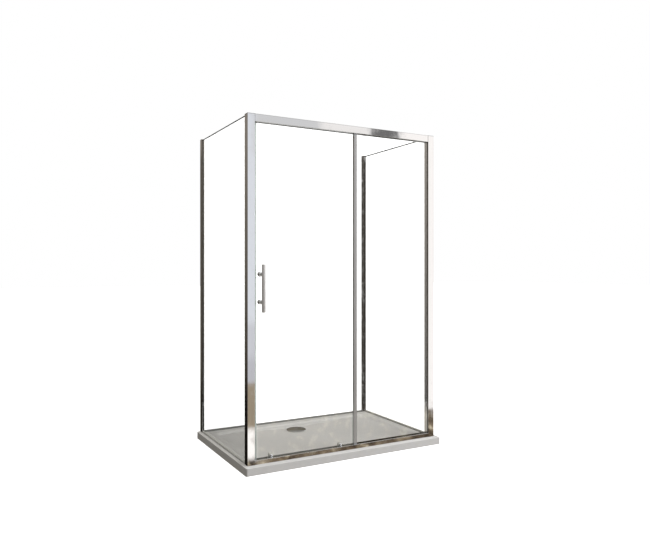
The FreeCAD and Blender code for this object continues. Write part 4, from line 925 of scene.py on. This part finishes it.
low_wheel = turned(
    "lower_wheel_left",
    [(2.1, 0.4), (3.2, 0), (7.3, 0), (7.8, 0.2), (7.9, 0.6), (7.9, 1.1), (7.5, 1.4), (6.5, 1.4),
     (6.5, 3.6), (7.5, 3.6), (7.9, 3.9), (7.9, 4.4), (7.8, 4.8), (7.3, 5), (3.2, 5), (2.1, 4.6),
     (2.1, 0.4)],
    (ROLLER_LEFT_X, LOW_WHEEL_FRONT * MM, AXLE_Z * MM), (0, 1, 0), 64,
)
right_low_wheel = another(low_wheel, "lower_wheel_right", (ROLLER_SPAN, 0, 0))
hand_over(low_wheel, "bottom_wheel_left", "white_nylon", "bottom_wheel_left", white_nylon)
hand_over(right_low_wheel, "bottom_wheel_right", "white_nylon", "bottom_wheel_right", white_nylon)

# A pair of wire coils in each body presses the carriage up. They are built at full length; on the
# door they shorten as its button goes down.
COIL_BOTTOM, COIL_LENGTH, COIL_RADIUS, COIL_TURNS = 65.5, 13.2, 1.65, 7
WIRE = 0.25
bpy.ops.object.select_all(action="DESELECT")
bpy.ops.mesh.primitive_circle_add(
    vertices=10, radius=WIRE * MM, location=(0, 0, 0), rotation=(math.radians(90), 0, 0)
)
coil = begin("coils_left")
settle()
bpy.ops.transform.translate(value=(COIL_RADIUS * MM, 0, WIRE * MM))
bpy.ops.object.mode_set(mode="OBJECT")
apply_modifier(coil, "SCREW", {
    "axis": "Z", "angle": 2 * math.pi, "iterations": COIL_TURNS, "steps": 24, "render_steps": 24,
    "screw_offset": (COIL_LENGTH - 2 * WIRE) / COIL_TURNS * MM,
})
bpy.ops.object.mode_set(mode="EDIT")
bpy.ops.mesh.select_all(action="SELECT")
bpy.ops.mesh.remove_doubles(threshold=0.005 * MM)
bpy.ops.mesh.fill_holes(sides=0)
bpy.ops.mesh.normals_make_consistent(inside=False)
bpy.ops.mesh.select_all(action="SELECT")
bpy.ops.transform.translate(
    value=(ROLLER_LEFT_X - SPRING_REACH * MM, SPRING_Y * MM, COIL_BOTTOM * MM)
)
end(coil, 40)
join(coil, another(coil, "second_coil", (2 * SPRING_REACH, 0, 0)))
right_coil = another(coil, "coils_right", (ROLLER_SPAN, 0, 0))
hand_over(coil, "release_springs_left", "steel", "door", steel)
hand_over(right_coil, "release_springs_right", "steel", "door", steel)
for spring, joint in ((coil, "release_left"), (right_coil, "release_right")):
    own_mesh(spring)


# ---------------------------------------------------------------- studio
# A pale floor and one large soft box at the front on the right. Round them stands a dome that the
# bright metal mirrors: white screens in front on the right and overhead, a dim room behind and on
# the left, and a brown floor low in front.

bpy.ops.object.select_all(action="DESELECT")
bpy.ops.mesh.primitive_plane_add(size=60, location=(0, 0, 0))
floor = bpy.context.object
floor.name = "studio_floor"
paint, output = start_material("pale_floor")
show(paint, output, add_node(
    paint, "ShaderNodeBsdfPrincipled",
    {
        "Base Color": linear("#F8F8F7"), "Roughness": 0.9, "Specular IOR Level": 0.0,
        "Emission Color": linear("#FFFFFF"), "Emission Strength": 0.8,
    },
))
dress(floor, paint)
# The camera sees the floor, but it throws no light on the object. It and the tray are left out of
# the metals' reflections, which are the dome's alone.
floor.visible_diffuse = False
floor.visible_glossy = False
floor.visible_transmission = False
tray.visible_glossy = False

soft_box_data = bpy.data.lights.new("soft_box", "AREA")
soft_box_data.shape = "SQUARE"
soft_box_data.size = 2.5
soft_box_data.energy = 140
soft_box_data.color = linear("#FAFBFF")[:3]
soft_box = bpy.data.objects.new("soft_box", soft_box_data)
soft_box.location = (2.6, -3.6, 3.0)
soft_box.rotation_euler = (math.radians(58), 0, math.radians(36))
soft_box.visible_glossy = False
soft_box.visible_transmission = False
bpy.context.scene.collection.objects.link(soft_box)

world = bpy.data.worlds.new("soft_dome")
bpy.context.scene.world = world
world.use_nodes = True
world.node_tree.nodes.clear()


def calculate(operation, first, second=None):
    """A Math node on the dome's directions. Each operand is a number or a (node, output) pair."""
    operands = {0: first, 1: second} if second is not None else {0: first}
    numbers = {i: v for i, v in operands.items() if not isinstance(v, tuple)}
    sources = {i: v for i, v in operands.items() if isinstance(v, tuple)}
    return (add_node(world, "ShaderNodeMath", {"operation": operation, **numbers}, sources), 0)


def by_height(*stops):
    """A colour that changes with the height above the horizon, given as (degrees, hex) stops."""
    share = add_node(
        world, "ShaderNodeMapRange", {"From Min": BELOW, "From Max": ABOVE}, {"Value": height}
    )
    node = add_node(world, "ShaderNodeValToRGB", {}, {"Fac": (share, 0)})
    elements = node.color_ramp.elements
    for i, (degrees, code) in enumerate(stops):
        place_on_ramp = (degrees - BELOW) / (ABOVE - BELOW)
        element = elements[i] if i < 2 else elements.new(place_on_ramp)
        element.position = place_on_ramp
        element.color = linear(code)
    return (node, "Color")


def window(source, low, high, soft):
    """1 where a value lies between two bounds, fading to 0 over the soft width at each of them."""
    rise = add_node(
        world, "ShaderNodeMapRange",
        {
            "interpolation_type": "SMOOTHSTEP",
            "From Min": low - soft / 2, "From Max": low + soft / 2,
        },
        {"Value": source},
    )
    fall = add_node(
        world, "ShaderNodeMapRange",
        {
            "interpolation_type": "SMOOTHSTEP",
            "From Min": high - soft / 2, "From Max": high + soft / 2, "To Min": 1.0, "To Max": 0.0,
        },
        {"Value": source},
    )
    return calculate("MULTIPLY", (rise, 0), (fall, 0))


def hang(wall, colour, across, along, soft):
    """Hangs a screen of a colour on the dome, between two bearings and two heights."""
    mask = calculate("MULTIPLY", window(bearing, *across, soft), window(height, *along, soft))
    constant = {} if isinstance(colour, tuple) else {7: linear(colour)}
    source = {7: colour} if isinstance(colour, tuple) else {}
    return (add_node(
        world, "ShaderNodeMix", {"data_type": "RGBA", **constant}, {0: mask, 6: wall, **source}
    ), 2)


direction = add_node(world, "ShaderNodeTexCoord")
parts = add_node(world, "ShaderNodeSeparateXYZ", {}, {0: (direction, "Generated")})
DEGREES = 180 / math.pi
height = calculate("MULTIPLY", calculate("ARCSINE", (parts, "Z")), DEGREES)
# The bearing is 0 towards -Y, the front, and grows towards +X, the right; the left is negative.
backwards = calculate("MULTIPLY", (parts, "Y"), -1.0)
bearing = calculate("MULTIPLY", calculate("ARCTAN2", (parts, "X"), backwards), DEGREES)
ABOVE, BELOW = 90.0, -90.0
BEYOND = 200.0
BROWN_FLOOR_TOP = -12.6

dim_room = by_height(
    (-90, "#0E0C0A"), (-12, "#171411"), (-9.5, "#3A352F"), (-3, "#514C45"), (6, "#676159"),
    (13, "#7A736B"), (25, "#868480"), (45, "#A6A5A2"), (58, "#E6E4E1"), (90, "#FFFEFC"),
)
bright_side = by_height(
    (-90, "#8E8A84"), (-20, "#A09B94"), (-12, "#B9B5B0"), (-5, "#E2E1DF"), (15, "#E6E6E5"),
    (45, "#E0E0E0"), (58, "#E6E4E1"), (90, "#FFFEFC"),
)
# Stones and lamps on the brown floor, mottled at about half a degree.
mottle = add_node(
    world, "ShaderNodeTexNoise", {"Scale": 85.0, "Detail": 3.0, "Roughness": 0.6},
    {"Vector": (direction, "Generated")},
)
stones = add_node(world, "ShaderNodeValToRGB", {}, {"Fac": (mottle, "Fac")})
for i, (share, code) in enumerate(
    ((0.36, "#241D17"), (0.45, "#55493D"), (0.53, "#6E6152"), (0.60, "#A08F74"), (0.66, "#F3ECD2"))
):
    stone = stones.color_ramp.elements[i] if i < 2 else stones.color_ramp.elements.new(share)
    stone.position = share
    stone.color = linear(code)
brown_floor = (stones, "Color")


def hang_all(wall, screens):
    """Hangs screens one over the other, each as a colour, bearings, heights and a soft width."""
    for screen in screens:
        wall = hang(wall, *screen)
    return wall


dome = hang_all(dim_room, (
    # the bright side, and narrow screens at its left edge
    (bright_side, (19.6, 112), (BELOW, ABOVE), 0.8),
    ("#D6D9DE", (19.6, 24.6), (-10.3, 26), 0.5),
    ("#C6C7CC", (18.6, 24), (-10.7, -5.0), 1.2),
    ("#B8B8BD", (18.6, 24), (-10.7, -8.2), 1.2),
    ("#958874", (19.6, 22.65), (-14.3, -10.4), 0.3),
    ("#FFFBF6", (19.6, 22.65), (-16.95, -14.3), 0.3),
    # high in front on the right, and a dark opening at the horizon under it
    ("#C9C9C9", (22.3, 28.6), (10.2, 30), 0.9),
    ("#E8E5E2", (28.4, 33.0), (10.2, 30), 0.9),
    ("#6C6B6A", (33.0, 35.5), (10.2, 14.4), 0.5),
    ("#F7F3EF", (35.6, 44), (BROWN_FLOOR_TOP, 30), 0.4),
    ("#2C2A28", (24.8, 36.4), (-13.0, 9.8), 0.6),
    # the brown floor
    (brown_floor, (22.65, 60), (BELOW, BROWN_FLOOR_TOP), 0.3),
    (brown_floor, (19.6, 22.75), (BELOW, -16.95), 0.3),
    # behind on the right, where the bearing is positive, and behind on the left
    ("#6E6C64", (140, 168), (8, 30), 3.0),
    ("#5C5345", (138, 160), (14.9, 19), 0.5),
    ("#3E3A36", (-148.3, -145), (-14, 11), 0.3),
    ("#EDEDEB", (-151, -148.3), (-14, 11), 0.3),
    ("#B4B4B2", (136, 163), (-16, -9), 1.0),
    ("#A39F96", (-145, -139), (BELOW, -12.4), 1.0),
    ("#46423C", (-180, -160.5), (-9, 10), 1.5),
))

# These screens show in mirrored and other glossy reflections alone, and light nothing: the pale
# floor far below and the lighter wall behind. A bound beyond the dome's last bearing or height
# leaves no soft edge on it.
mirrored = hang_all(dome, [("#B3AFA9", (-BEYOND, BEYOND), (-BEYOND, -21), 5.0)] + [
    ("#8C8882", bearings, (-40, 0), 4.0)
    for bearings in ((166, BEYOND), (-BEYOND, -166), (-137, -100), (112, 135))
])

# What the camera sees straight, or through clear panes, is plain white; all else sees the dome.
# The white is brighter through the panes, which dim it again.
PANE_LIFT = 0.75
path = add_node(world, "ShaderNodeLightPath")
surroundings = add_node(
    world, "ShaderNodeMix", {"data_type": "RGBA"},
    {0: (path, "Is Glossy Ray"), 6: dome, 7: mirrored},
)
bounced = calculate("ADD", (path, "Diffuse Depth"), (path, "Glossy Depth"))
through = calculate("MULTIPLY", (path, "Is Transmission Ray"), calculate("LESS_THAN", bounced, 0.5))
plain = calculate("MAXIMUM", (path, "Is Camera Ray"), through)
brightness = calculate("ADD", calculate("MULTIPLY", through, PANE_LIFT), 1.0)
soft_dome = add_node(
    world, "ShaderNodeBackground", {"Strength": 1.25}, {"Color": (surroundings, 2)}
)
plain_white = add_node(
    world, "ShaderNodeBackground", {"Color": linear("#FFFFFF")}, {"Strength": brightness}
)
lit = add_node(
    world, "ShaderNodeMixShader", {}, {0: plain, 1: (soft_dome, 0), 2: (plain_white, 0)}
)
add_node(world, "ShaderNodeOutputWorld", {}, {"Surface": (lit, 0)})

bpy.context.scene.view_settings.view_transform = "Standard"


# ---------------------------------------------------------------- camera
# The camera stands in front of the enclosure on the left, at the height of the handle's upper end.
# It is level, and looks inwards and to the right, as the photograph was framed.

LOOKS_RIGHT, LOOKS_INWARDS = 0.4810, 0.8767
camera_data = bpy.data.cameras.new("camera")
camera_data.lens = 34.64
camera_data.sensor_width = 36
camera_data.shift_y = -0.0123
camera = bpy.data.objects.new("camera", camera_data)
camera.location = (-1.7312, -3.2593, 1.0232)
camera.rotation_euler = (math.radians(90), 0, -math.atan2(LOOKS_RIGHT, LOOKS_INWARDS))
bpy.context.scene.collection.objects.link(camera)
bpy.context.scene.camera = camera
